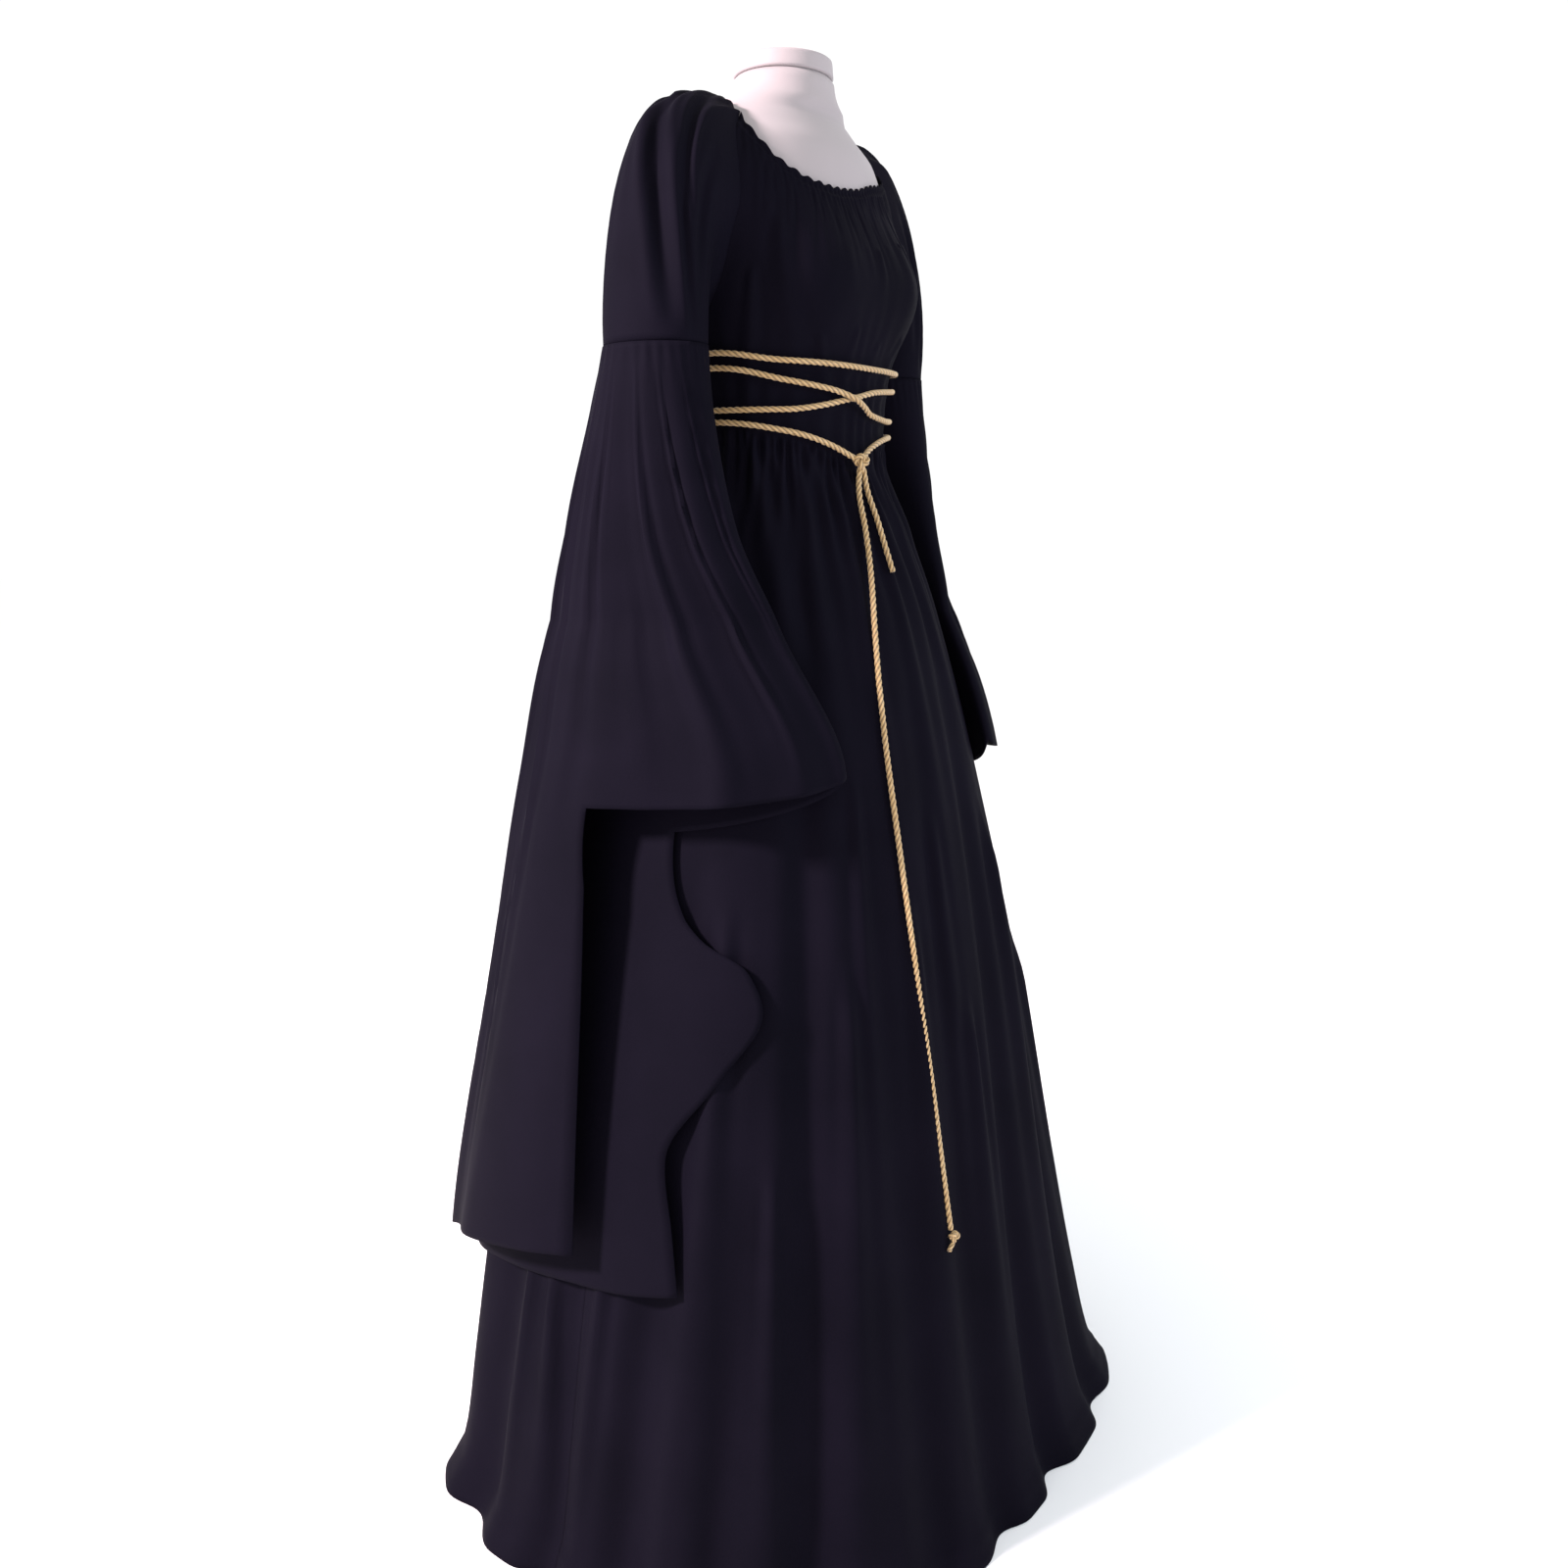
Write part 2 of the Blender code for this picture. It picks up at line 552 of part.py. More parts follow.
def even_points(points, spacing):
    """Points at even steps along a finely drawn line."""
    lengths = [0.0]
    for before, after in zip(points, points[1:]):
        lengths.append(lengths[-1] + (after - before).length)
    steps = max(1, round(lengths[-1] / spacing))
    places = []
    for k in range(steps + 1):
        target = lengths[-1] * k / steps
        i = min(bisect_right(lengths, target), len(points) - 1)
        part = (target - lengths[i - 1]) / (lengths[i] - lengths[i - 1])
        places.append(points[i - 1].lerp(points[i], part))
    return places


def route_points(route, fineness=40):
    """A fine line over a cord's route, smooth in angle, height and lift."""
    marks = list(range(len(route)))
    line = []
    for k in range((len(route) - 1) * fineness + 1):
        line.append(cord_place(Spot(*[curve(marks, column, k / fineness)
                                      for column in zip(*route)])))
    return line


def add_cord(name, points):
    data = bpy.data.curves.new(name, "CURVE")
    data.dimensions = "3D"
    data.bevel_depth = CORD_DIAMETER / 2
    data.bevel_resolution = 2
    data.use_fill_caps = True
    line = data.splines.new("POLY")
    line.points.add(len(points) - 1)
    for target, point in zip(line.points, points):
        target.co = (*point, 1)
    return add_object(name, data, CORD)


def add_knot(name, centre, radii, heading):
    """A plain rounded knot, with its flat side to the cloth."""
    shape = bmesh.new()
    bmesh.ops.create_uvsphere(shape, u_segments=14, v_segments=8, radius=1.0)
    bmesh.ops.scale(shape, vec=radii, verts=shape.verts)
    bmesh.ops.rotate(shape, cent=(0, 0, 0), verts=shape.verts,
                     matrix=Matrix.Rotation(math.radians(-heading), 3, "Z"))
    bmesh.ops.translate(shape, vec=centre, verts=shape.verts)
    mesh = bpy.data.meshes.new(name)
    shape.to_mesh(mesh)
    shape.free()
    mesh.shade_smooth()
    return add_object(name, mesh, CORD)


def add_belt():
    """The wound cord, its knot, its two free ends and the knot at the long one's tip."""
    centre = cord_place(KNOT)
    clear = KNOT_RADIUS + KNOT_GAP
    add_knot("belt_knot", centre, (KNOT_RADIUS, KNOT_RADIUS * 0.95, KNOT_RADIUS), KNOT.angle)
    wound = [p for p in route_points(BELT_ROUTE) if (p - centre).length > clear]
    add_cord("belt_cord", even_points(wound, BELT_SPACING))
    for name, route in (("cord_end_long", LONG_END_ROUTE), ("cord_end_short", SHORT_END_ROUTE)):
        free = [p for p in route_points(route) if (p - centre).length > clear]
        add_cord(name, even_points(free, END_SPACING))
    tip = route_points(LONG_END_ROUTE)[-1]
    low = tip - Vector((0, 0, TIP_KNOT_RADIUS + SEAM))
    low.y -= TIP_KNOT_RADIUS - CORD_DIAMETER / 2 + 0.001
    add_knot("cord_tip_knot", low, [TIP_KNOT_RADIUS] * 3, 0)


def form_radius(angle, height):
    row = read(FORM_INSET, height)
    facing = max(0.0, math.cos(math.radians(angle))) ** 2
    inset = row.side + (row.front - row.side) * facing
    side = sum(bell(turn_between(angle, way * SHOULDER_ANGLE), SHOULDER_SPREAD) for way in (-1, 1))
    return gown_radius(angle, height) - WALL - inset + row.shoulder * side


def add_turned(name, levels, radius_at, sides, finish):
    """A closed solid through level rings, from its bottom to its top."""
    points, faces = [], []
    for level in levels:
        for k in range(sides):
            angle = 360 * k / sides
            points.append(place_at(angle, level, radius_at(angle, level)))
    for ring in range(len(levels) - 1):
        for k in range(sides):
            a, b = ring * sides + k, ring * sides + (k + 1) % sides
            faces.append((a, a + sides, b + sides, b))
    faces.append(tuple(range(sides)))
    faces.append(tuple(reversed(range(len(points) - sides, len(points)))))
    return add_mesh(name, points, faces, finish)


def add_form():
    add_turned("form_torso", FORM_LEVELS, form_radius, FORM_SIDES, FORM)

    def cap_radius(angle, level):
        edge = NECK_CAP_EDGE if level == NECK_CAP_LEVELS[-1] else 0.0
        return form_radius(angle, level) - edge

    add_turned("form_neck_cap", NECK_CAP_LEVELS, cap_radius, FORM_SIDES, FORM)


def add_round(name, radius, bottom, top, edge, sides):
    """A pole or plate, with its top rim bevelled where an edge is given."""
    shape = bmesh.new()
    bmesh.ops.create_cone(shape, cap_ends=True, segments=sides, radius1=radius, radius2=radius,
                          depth=top - bottom)
    bmesh.ops.translate(shape, vec=(0, 0, (top + bottom) / 2), verts=shape.verts)
    if edge:
        rim = [e for e in shape.edges if all(v.co.z > top - SEAM for v in e.verts)]
        bmesh.ops.bevel(shape, geom=rim, offset=edge, segments=3, profile=0.5, affect="EDGES",
                        material=-1)
    mesh = bpy.data.meshes.new(name)
    shape.to_mesh(mesh)
    shape.free()
    mesh.shade_smooth()
    mesh.set_sharp_from_angle(angle=math.radians(35))
    return add_object(name, mesh, METAL)


def add_stand():
    add_round("stand_base", BASE_RADIUS, 0.0, BASE_THICKNESS, BASE_EDGE, 48)
    add_round("stand_pole", POLE_RADIUS, BASE_THICKNESS + SEAM, FORM_LEVELS[0] - SEAM, 0.0, 20)


def main():
    for item in list(bpy.data.objects):
        bpy.data.objects.remove(item, do_unlink=True)
    add_panel("front_panel", 0, FRONT_GATHERS)
    add_panel("back_panel", 180, BACK_GATHERS)
    add_upper_sleeves()
    add_lower_sleeves()
    add_belt()
    add_form()
    add_stand()


main()
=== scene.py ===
# %% [markdown]
# # A medieval gown on a dress form
#
# The gown is made of thin black crepe. Its neckline is drawn up on a gathered edge, its
# sleeves are raglan sleeves that widen below the elbow and hang down behind as an open
# drop, and a gold cord is wound round the waist. Everything is in metres, +Z is up, the
# gown faces -Y and the wearer's left is +X. An angle is in degrees round the form, from
# the centre front towards the wearer's right.

# %% Load the frame
import math
from collections import namedtuple

import bmesh
import bpy
import numpy as np
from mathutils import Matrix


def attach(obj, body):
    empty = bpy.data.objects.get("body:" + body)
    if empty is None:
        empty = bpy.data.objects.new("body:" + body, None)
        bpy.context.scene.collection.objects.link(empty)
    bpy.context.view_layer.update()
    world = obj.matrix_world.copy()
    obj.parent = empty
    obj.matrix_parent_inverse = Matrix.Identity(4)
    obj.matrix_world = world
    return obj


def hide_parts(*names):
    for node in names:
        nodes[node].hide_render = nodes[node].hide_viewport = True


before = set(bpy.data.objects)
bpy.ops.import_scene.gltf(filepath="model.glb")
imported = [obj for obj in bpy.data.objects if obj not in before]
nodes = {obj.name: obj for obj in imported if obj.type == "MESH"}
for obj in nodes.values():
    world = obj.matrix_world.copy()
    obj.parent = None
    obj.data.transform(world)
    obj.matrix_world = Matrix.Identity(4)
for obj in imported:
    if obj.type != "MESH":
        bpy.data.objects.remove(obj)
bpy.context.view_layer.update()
print("nodes in the frame:", len(nodes))

# %% [markdown]
# The camera comes first, so that every later cell can be looked at. It stands to the
# wearer's front right at about waist height, tilted a little down.

# %% Camera
CAMERA_TURN, CAMERA_TILT = -55.0, 10.0
CAMERA_AWAY, CAMERA_HEIGHT = 1.57, 1.01
CAMERA_LENS = 33.1


def add_camera():
    data = bpy.data.cameras.new("camera")
    data.lens = CAMERA_LENS
    camera = bpy.data.objects.new("camera", data)
    turn = math.radians(CAMERA_TURN)
    camera.location = (
        math.sin(turn) * CAMERA_AWAY, -math.cos(turn) * CAMERA_AWAY, CAMERA_HEIGHT,
    )
    camera.rotation_euler = (math.radians(90 - CAMERA_TILT), 0, turn)
    bpy.context.scene.collection.objects.link(camera)
    bpy.context.scene.camera = camera


add_camera()

# %% [markdown]
# The gown's form is read from short tables. A curve through a table's values that never
# overshoots them keeps the cloth from bulging between two rows. NumPy lets one call work
# on all the points of a piece at once.

# %% Smooth curves through tables


def curve(places, values, place):
    places, values = np.asarray(places, float), np.asarray(values, float)
    place = np.clip(place, places[0], places[-1])
    rise = np.diff(values) / np.diff(places)
    slope = np.concatenate([rise[:1], np.zeros(len(values) - 2), rise[-1:]])
    before, after = rise[:-1], rise[1:]
    same = before * after > 0
    total = np.where(same, before + after, 1.0)
    slope[1:-1] = np.where(same, 2 * before * after / total, 0.0)
    k = np.clip(np.searchsorted(places, place, side="right") - 1, 0, len(places) - 2)
    width = places[k + 1] - places[k]
    t = (place - places[k]) / width
    return (values[k] * (1 + 2 * t) * (1 - t) ** 2 + values[k + 1] * (3 - 2 * t) * t * t
            + width * (slope[k] * t * (1 - t) ** 2 - slope[k + 1] * t * t * (1 - t)))


def read(table, place):
    """A table's row at any places between its first and last rows."""
    columns = list(zip(*table))
    return type(table[0])(*[curve(columns[0], column, place) for column in columns])


def bell(distance, spread):
    return np.exp(-(distance / spread) ** 2)


def turn_between(angle, other):
    return (angle - other + 180) % 360 - 180


def place_at(angle, height, radius):
    turn = np.radians(angle)
    height = np.broadcast_to(height, np.shape(turn))
    return np.stack([-radius * np.sin(turn), -radius * np.cos(turn), height], axis=-1)


# %% [markdown]
# The gown's outside is a stack of level sections, each half as wide as half_width and as
# deep as front and back. The bust is two soft swells.

# %% The gown's sections
Section = namedtuple("Section", "height half_width front back roundness")
GOWN = [
    Section(0.000, 0.402, 0.342, 0.300, 2.8),
    Section(0.040, 0.384, 0.326, 0.290, 2.6),
    Section(0.140, 0.366, 0.303, 0.286, 2.5),
    Section(0.260, 0.344, 0.282, 0.284, 2.4),
    Section(0.560, 0.276, 0.234, 0.240, 2.3),
    Section(0.780, 0.222, 0.192, 0.200, 2.1),
    Section(0.920, 0.182, 0.155, 0.165, 2.0),
    Section(1.010, 0.150, 0.121, 0.130, 2.0),
    Section(1.080, 0.125, 0.096, 0.100, 2.0),
    Section(1.160, 0.130, 0.100, 0.100, 2.0),
    Section(1.250, 0.146, 0.118, 0.106, 2.0),
    Section(1.337, 0.152, 0.091, 0.105, 2.0),
    Section(1.381, 0.133, 0.081, 0.097, 2.0),
    Section(1.402, 0.115, 0.071, 0.090, 2.0),
    Section(1.420, 0.098, 0.062, 0.080, 2.0),
    Section(1.430, 0.076, 0.055, 0.066, 2.0),
    Section(1.446, 0.059, 0.052, 0.056, 2.0),
    Section(1.480, 0.051, 0.050, 0.051, 2.0),
]
BUST_HEIGHT, BUST_ANGLE, BUST_SWELL = 1.25, 36.0, 0.014
BUST_SPREAD_HEIGHT, BUST_SPREAD_ANGLE = 0.055, 22.0


def gown_radius(angle, height):
    row = read(GOWN, height)
    side, fore = np.sin(np.radians(angle)), np.cos(np.radians(angle))
    depth = np.where(fore > 0, row.front, row.back)
    reach = np.abs(side / row.half_width) ** row.roundness + np.abs(fore / depth) ** row.roundness
    bust = sum(bell(turn_between(angle, way * BUST_ANGLE), BUST_SPREAD_ANGLE) for way in (-1, 1))
    swell = BUST_SWELL * bust * bell(height - BUST_HEIGHT, BUST_SPREAD_HEIGHT)
    return reach ** (-1 / row.roundness) + swell


# %% [markdown]
# The cord is three satin strands laid round each other. A tube with a three-lobed outline
# that turns as it goes along shows the strands and the grooves between them, and stays one
# clean closed surface. A grid is rolled up along the route, its long edges are merged, and
# its two ends are closed.

# %% Roll a tube along a route
CORD_DIAMETER, CORD_CLEARANCE = 0.006, 0.0014
STRANDS, STRAND_PITCH, CORD_STEP, CORD_SIDES = 3, 0.021, 0.0015, 18
STRAND_RADIUS = 0.27 * CORD_DIAMETER
STRAND_OFFSET = CORD_DIAMETER / 2 - STRAND_RADIUS


def strand_outline(turn):
    """The cord's radius at a turn round it, in radians."""
    spread = math.pi / STRANDS
    away = (turn + spread) % (2 * spread) - spread
    return STRAND_OFFSET * np.cos(away) + np.sqrt(
        STRAND_RADIUS ** 2 - (STRAND_OFFSET * np.sin(away)) ** 2
    )


def even_points(points, step):
    lengths = np.concatenate([[0], np.cumsum(np.linalg.norm(np.diff(points, axis=0), axis=1))])
    count = max(2, round(lengths[-1] / step))
    targets = np.linspace(0, lengths[-1], count + 1)
    return np.stack([np.interp(targets, lengths, points[:, k]) for k in range(3)], axis=-1)


def path_frames(path):
    """At each point of a path, two directions square to it that don't twist."""
    along = np.gradient(path, axis=0)
    along /= np.linalg.norm(along, axis=1)[:, None]
    side = np.cross(along[0], (0.3, 0.2, 1.0))
    sides = []
    for way in along:
        side = side - way * side.dot(way)
        side = side / np.linalg.norm(side)
        sides.append(side)
    sides = np.array(sides)
    return sides, np.cross(along, sides)


def finish_mesh(name, shape, material):
    mesh = bpy.data.meshes.new(name)
    shape.to_mesh(mesh)
    shape.free()
    mesh.shade_smooth()
    mesh.materials.append(material)
    item = bpy.data.objects.new(name, mesh)
    bpy.context.scene.collection.objects.link(item)
    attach(item, "root")
    return item


def lay_grid(shape, columns, rows, place, cut=(0, 0, 1, 1)):
    """Adds a grid, moved to place(u, v). Its UV map is the flat cut, in metres."""
    layer = shape.loops.layers.uv.get("cut") or shape.loops.layers.uv.new("cut")
    made = bmesh.ops.create_grid(shape, x_segments=columns, y_segments=rows, size=0.5)["verts"]
    flat = np.array([vert.co[:2] for vert in made]) + 0.5
    points = place(flat[:, 0], flat[:, 1])
    spots = {}
    for vert, (u, v), point in zip(made, flat, points):
        vert.co = point
        spots[vert] = (cut[0] + u * cut[2], cut[1] + v * cut[3])
    for face in {face for vert in made for face in vert.link_faces}:
        for loop in face.loops:
            loop[layer].uv = spots[loop.vert]
    return made


def roll_tube(name, path, radius_at, material):
    """A closed tube round a path; radius_at reads the turn round it and the way along."""
    sides, ups = path_frames(path)
    length = np.linalg.norm(np.diff(path, axis=0), axis=1).sum()
    shape = bmesh.new()

    def place(u, v):
        k = np.rint(v * (len(path) - 1)).astype(int)
        turn = 2 * math.pi * u
        radius = radius_at(turn, v * length)[:, None]
        return path[k] + radius * (np.cos(turn)[:, None] * sides[k] + np.sin(turn)[:, None] * ups[k])

    lay_grid(shape, CORD_SIDES, len(path) - 1, place, (0, 0, 1, length))
    bmesh.ops.remove_doubles(shape, verts=shape.verts, dist=1e-6)
    open_edges = [edge for edge in shape.edges if edge.is_boundary]
    bmesh.ops.holes_fill(shape, edges=open_edges, sides=0)
    bmesh.ops.recalc_face_normals(shape, faces=shape.faces)
    return finish_mesh(name, shape, material)


def cord_radius(turn, along):
    return strand_outline(turn - 2 * math.pi * along / STRAND_PITCH)


# %% [markdown]
# Satin thread is bright on the strands and dark in the grooves between them. Here the dark of
# the grooves is painted shade: a wave with the strands' own pitch mixes a shade colour into
# the grooves. The pattern follows the cord, so it reads the cord's UV map: across is the way
# round, up is the length in metres. A finer wave draws the threads, and slow noise takes the
# colour from gold to pale straw.

# %% Material helpers and the cord's satin


def new_material(name, roughness, metallic=0.0):
    material = bpy.data.materials.new(name)
    material.use_nodes = True
    shader = material.node_tree.nodes["Principled BSDF"]
    shader.inputs["Roughness"].default_value = roughness
    shader.inputs["Metallic"].default_value = metallic
    return material, shader


def add_node(material, kind, settings=None, **inputs):
    """A shader node, with its settings and with values or links for its inputs."""
    node = material.node_tree.nodes.new("ShaderNode" + kind)
    for name, value in (settings or {}).items():
        setattr(node, name, value)
    for name, value in inputs.items():
        socket = node.inputs[name.replace("_", " ")]
        if isinstance(value, bpy.types.NodeSocket):
            material.node_tree.links.new(value, socket)
        else:
            socket.default_value = value
    return node


def link(material, output, target):
    material.node_tree.links.new(output, target)


def two_colours(material, factor, low, high):
    mix = material.node_tree.nodes.new("ShaderNodeMix")
    mix.data_type = "RGBA"
    mix.inputs["A"].default_value = mix.inputs[6].default_value = (*low, 1)
    mix.inputs[7].default_value = (*high, 1)
    link(material, factor, mix.inputs[0])
    return mix.outputs[2]


def math_node(material, operation, first, second=0.0, third=0.0):
    node = material.node_tree.nodes.new("ShaderNodeMath")
    node.operation = operation
    for socket, value in zip(node.inputs, (first, second, third)):
        if isinstance(value, bpy.types.NodeSocket):
            link(material, value, socket)
        else:
            socket.default_value = value
    return node.outputs[0]


# The gold and the straw are the cord's own colours; the groove colour is painted shade for the grooves between
# the strands.
CORD_GOLD, CORD_STRAW, CORD_GROOVE_SHADE = (0.50, 0.305, 0.105), (0.64, 0.455, 0.225), (0.12, 0.062, 0.018)


def make_cord_satin():
    material, shader = new_material("cord_satin", 0.36)
    shader.inputs["Sheen Weight"].default_value = 0.25
    spot = add_node(material, "UVMap", {"uv_map": "cut"}).outputs[0]
    parts = add_node(material, "SeparateXYZ", Vector=spot)
    along = math_node(material, "MULTIPLY", parts.outputs[1], 1 / STRAND_PITCH)
    round_it = math_node(material, "SUBTRACT", parts.outputs[0], along)
    lobe = math_node(material, "MULTIPLY", round_it, 2 * math.pi * STRANDS)
    ridge = math_node(material, "MULTIPLY_ADD", math_node(material, "COSINE", lobe), 0.5, 0.5)
    open_face = math_node(material, "POWER", ridge, 0.45)
    thread = math_node(material, "SINE", math_node(material, "MULTIPLY", round_it, 2 * math.pi * 27))
    place = add_node(material, "TexCoord").outputs["Object"]
    patch = add_node(material, "TexNoise", Vector=place, Scale=38.0, Detail=2.0).outputs[0]
    gold = two_colours(material, patch, CORD_GOLD, CORD_STRAW)
    # Painted shade: the groove colour is mixed in where the strands meet, and the gold lies on the strands'
    # crests.
    mix = material.node_tree.nodes.new("ShaderNodeMix")
    mix.data_type = "RGBA"
    mix.inputs[6].default_value = (*CORD_GROOVE_SHADE, 1)
    link(material, open_face, mix.inputs[0])
    link(material, gold, mix.inputs[7])
    link(material, mix.outputs[2], shader.inputs["Base Color"])
    bump = add_node(material, "Bump", Strength=0.35, Distance=0.0003, Height=thread)
    link(material, bump.outputs[0], shader.inputs["Normal"])
    return material


cord_satin = make_cord_satin()

# %% [markdown]
# The belt's route is a list of spots on the gown: an angle, a height and how far the cord
# lifts off the cloth where it passes over itself. It goes round four times, from one side
# of the knot to the other.

# %% Routes of the cord
Spot = namedtuple("Spot", "angle height lift")
OVER = 0.0066
BELT_ROUTE = [
    Spot(8.5, 1.078, 0.004), Spot(30, 1.094, 0.0), Spot(55, 1.106, 0.0), Spot(90, 1.114, 0.0),
    Spot(148, 1.113, 0.0), Spot(180, 1.120, OVER), Spot(212, 1.129, 0.0),
    Spot(270, 1.130, 0.0), Spot(330, 1.122, 0.0), Spot(354, 1.125, 0.0),
    Spot(365, 1.132, 0.003), Spot(375.6, 1.139, OVER), Spot(386, 1.145, 0.003),
    Spot(415, 1.154, 0.0), Spot(447, 1.165, 0.0), Spot(508, 1.165, 0.0),
    Spot(540, 1.172, 0.0), Spot(572, 1.179, 0.0), Spot(630, 1.179, 0.0),
    Spot(690, 1.171, 0.0), Spot(720, 1.170, 0.0), Spot(775, 1.172, 0.0),
    Spot(807, 1.179, 0.0), Spot(868, 1.179, 0.0), Spot(900, 1.172, OVER),
    Spot(932, 1.165, 0.0), Spot(990, 1.162, 0.0), Spot(1050, 1.152, 0.0),
    Spot(1072, 1.148, 0.0), Spot(1095.6, 1.139, 0.0), Spot(1135, 1.126, 0.0),
    Spot(1170, 1.125, 0.0), Spot(1228, 1.125, 0.0), Spot(1260, 1.119, 0.0),
    Spot(1292, 1.112, 0.0), Spot(1350, 1.112, 0.0), Spot(1410, 1.104, 0.0),
    Spot(1431.5, 1.094, 0.0), Spot(1448.5, 1.078, 0.004),
]
KNOT = Spot(8.5, 1.078, 0.006)
LONG_END_ROUTE = [
    Spot(9.0, 1.074, 0.005), Spot(10.2, 1.065, 0.003), Spot(14.0, 1.035, 0.0), Spot(17.0, 0.992, 0.0),
    Spot(22.2, 0.916, 0.0), Spot(24.0, 0.850, 0.0), Spot(24.6, 0.789, 0.0),
    Spot(24.0, 0.689, 0.0), Spot(22.8, 0.578, 0.0), Spot(21.4, 0.476, 0.0),
    Spot(20.3, 0.380, 0.0), Spot(19.6, 0.324, 0.0),
]
SHORT_END_ROUTE = [
    Spot(7.6, 1.074, 0.005), Spot(5.6, 1.065, 0.003), Spot(5.0, 1.040, 0.0), Spot(5.2, 1.010, 0.0),
    Spot(5.2, 0.968, 0.0),
]
Gather = namedtuple("Gather", "height depth")
WAIST_GATHERS = [
    Gather(0.86, 0.0), Gather(0.98, 0.0026), Gather(1.06, 0.0024), Gather(1.09, 0.0008),
    Gather(1.17, 0.0006), Gather(1.21, 0.0),
]
KNOT_RADIUS, KNOT_CLEAR = 0.0095, 0.0045


def cord_place(angle, height, lift):
    gather = read(WAIST_GATHERS, height).depth
    rest = gown_radius(angle, height) + gather + CORD_CLEARANCE + CORD_DIAMETER / 2
    return place_at(angle, height, rest + lift)


def route_points(route, fineness=60):
    marks = np.arange(len(route))
    fine = np.linspace(0, len(route) - 1, (len(route) - 1) * fineness + 1)
    return cord_place(*[curve(marks, column, fine) for column in zip(*route)])


def beyond_knot(points):
    """The stretch of a route that lies outside the middle of the knot."""
    return points[np.linalg.norm(points - knot_centre, axis=1) > KNOT_CLEAR]


knot_centre = cord_place(*[np.array(value) for value in KNOT])
belt = roll_tube(
    "belt", even_points(beyond_knot(route_points(BELT_ROUTE)), CORD_STEP), cord_radius, cord_satin
)
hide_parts("belt_cord")
print("belt faces:", len(belt.data.polygons))

# %% [markdown]
# A knot is the same cord, pulled tight: its middle line is the three-leaved loop of an
# overhand knot, flattened against the cloth.

# %% Knots
KNOT_LEAF, KNOT_DEPTH = 0.0026, 0.0026
TIP_KNOT_RADIUS = 0.006


def knot_loop(centre, leaf, depth, heading, points=120):
    turn = np.linspace(0, 2 * math.pi, points)
    across = leaf * (np.sin(turn) + 2 * np.sin(2 * turn))
    up = leaf * (np.cos(turn) - 2 * np.cos(2 * turn))
    out = depth * np.sin(3 * turn)
    way = math.radians(heading)
    return centre + np.stack(
        [across * math.cos(way) - out * math.sin(way),
         -across * math.sin(way) - out * math.cos(way), up], axis=-1,
    )


def knot_cord_radius(turn, along):
    return 0.92 * cord_radius(turn, along)


def add_knot(name, node, loop, radius_at):
    knot = roll_tube(name, even_points(loop, 0.0009), radius_at, cord_satin)
    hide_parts(node)
    return knot


add_knot("knot", "belt_knot", knot_loop(knot_centre, KNOT_LEAF, KNOT_DEPTH, KNOT.angle),
         knot_cord_radius)

# %% [markdown]
# Two ends hang from the knot. The long one ends in a small knot with a short tail.

# %% Free ends
SEAM = 0.0003


def add_free_end(name, node, route):
    points = even_points(beyond_knot(route_points(route)), CORD_STEP)
    end = roll_tube(name, points, cord_radius, cord_satin)
    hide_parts(node)
    return points[-1]


tip = route_points(LONG_END_ROUTE)[-1]
tip_centre = tip - np.array([0, TIP_KNOT_RADIUS - CORD_DIAMETER / 2 + 0.001, TIP_KNOT_RADIUS + SEAM])
TAIL = [(0.0, 0.0, -0.002), (-0.002, 0.0, -0.006), (-0.006, 0.0, -0.009), (-0.010, 0.0, -0.011)]


def tail_radius(turn, along):
    """A tail that is cut off and a little frayed: it widens towards its end."""
    return cord_radius(turn, along) * (0.62 + 18 * along)


tip_loop = knot_loop(tip_centre, 0.0014, 0.0018, 20)
tip_knot = add_knot("tip_knot", "cord_tip_knot", tip_loop, lambda turn, along: 0.8 * cord_radius(turn, along))
tail = roll_tube("tip_tail", even_points(tip_centre + np.array(TAIL), 0.0008), tail_radius, cord_satin)
add_free_end("long_end", "cord_end_long", LONG_END_ROUTE)
add_free_end("short_end", "cord_end_short", SHORT_END_ROUTE)

# %% [markdown]
# The crepe is nearly black, with a purple or a navy tint as the light takes it. Its yarns
# are crinkled, so its surface is pebbled and matt with a soft sheen. The fine pebble is a
# bump that reads the flat cut's UV map, so it follows the cloth. A stitched line runs near
# each hem.

# %% The crepe
CREPE_DARK, CREPE_LIGHT = (0.0018, 0.0016, 0.0038), (0.0047, 0.0037, 0.0083)


def make_crepe():
    material, shader = new_material("black_crepe", 0.78)
    shader.inputs["Specular IOR Level"].default_value = 0.03
    shader.inputs["Sheen Weight"].default_value = 0.004
    shader.inputs["Sheen Roughness"].default_value = 0.5
    shader.inputs["Sheen Tint"].default_value = (0.62, 0.55, 0.80, 1)
    spot = add_node(material, "UVMap", {"uv_map": "cut"}).outputs[0]
    place = add_node(material, "TexCoord").outputs["Object"]
    patch = add_node(material, "TexNoise", Vector=place, Scale=9.0, Detail=3.0).outputs[0]
    pebble = add_node(material, "TexNoise", Vector=spot, Scale=900.0, Detail=2.0).outputs[0]
    crinkle = add_node(material, "TexNoise", Vector=spot, Scale=160.0, Detail=3.0).outputs[0]
    both = math_node(material, "MULTIPLY_ADD", pebble, 0.5, patch)
    shade = math_node(material, "SUBTRACT", both, 0.28)
    colour = two_colours(material, shade, CREPE_DARK, CREPE_LIGHT)
    link(material, colour, shader.inputs["Base Color"])
    height = math_node(material, "MULTIPLY_ADD", crinkle, 0.8, pebble)
    bump = add_node(material, "Bump", Strength=0.35, Distance=0.0004, Height=height)
    link(material, bump.outputs[0], shader.inputs["Normal"])
    return material


black_crepe = make_crepe()
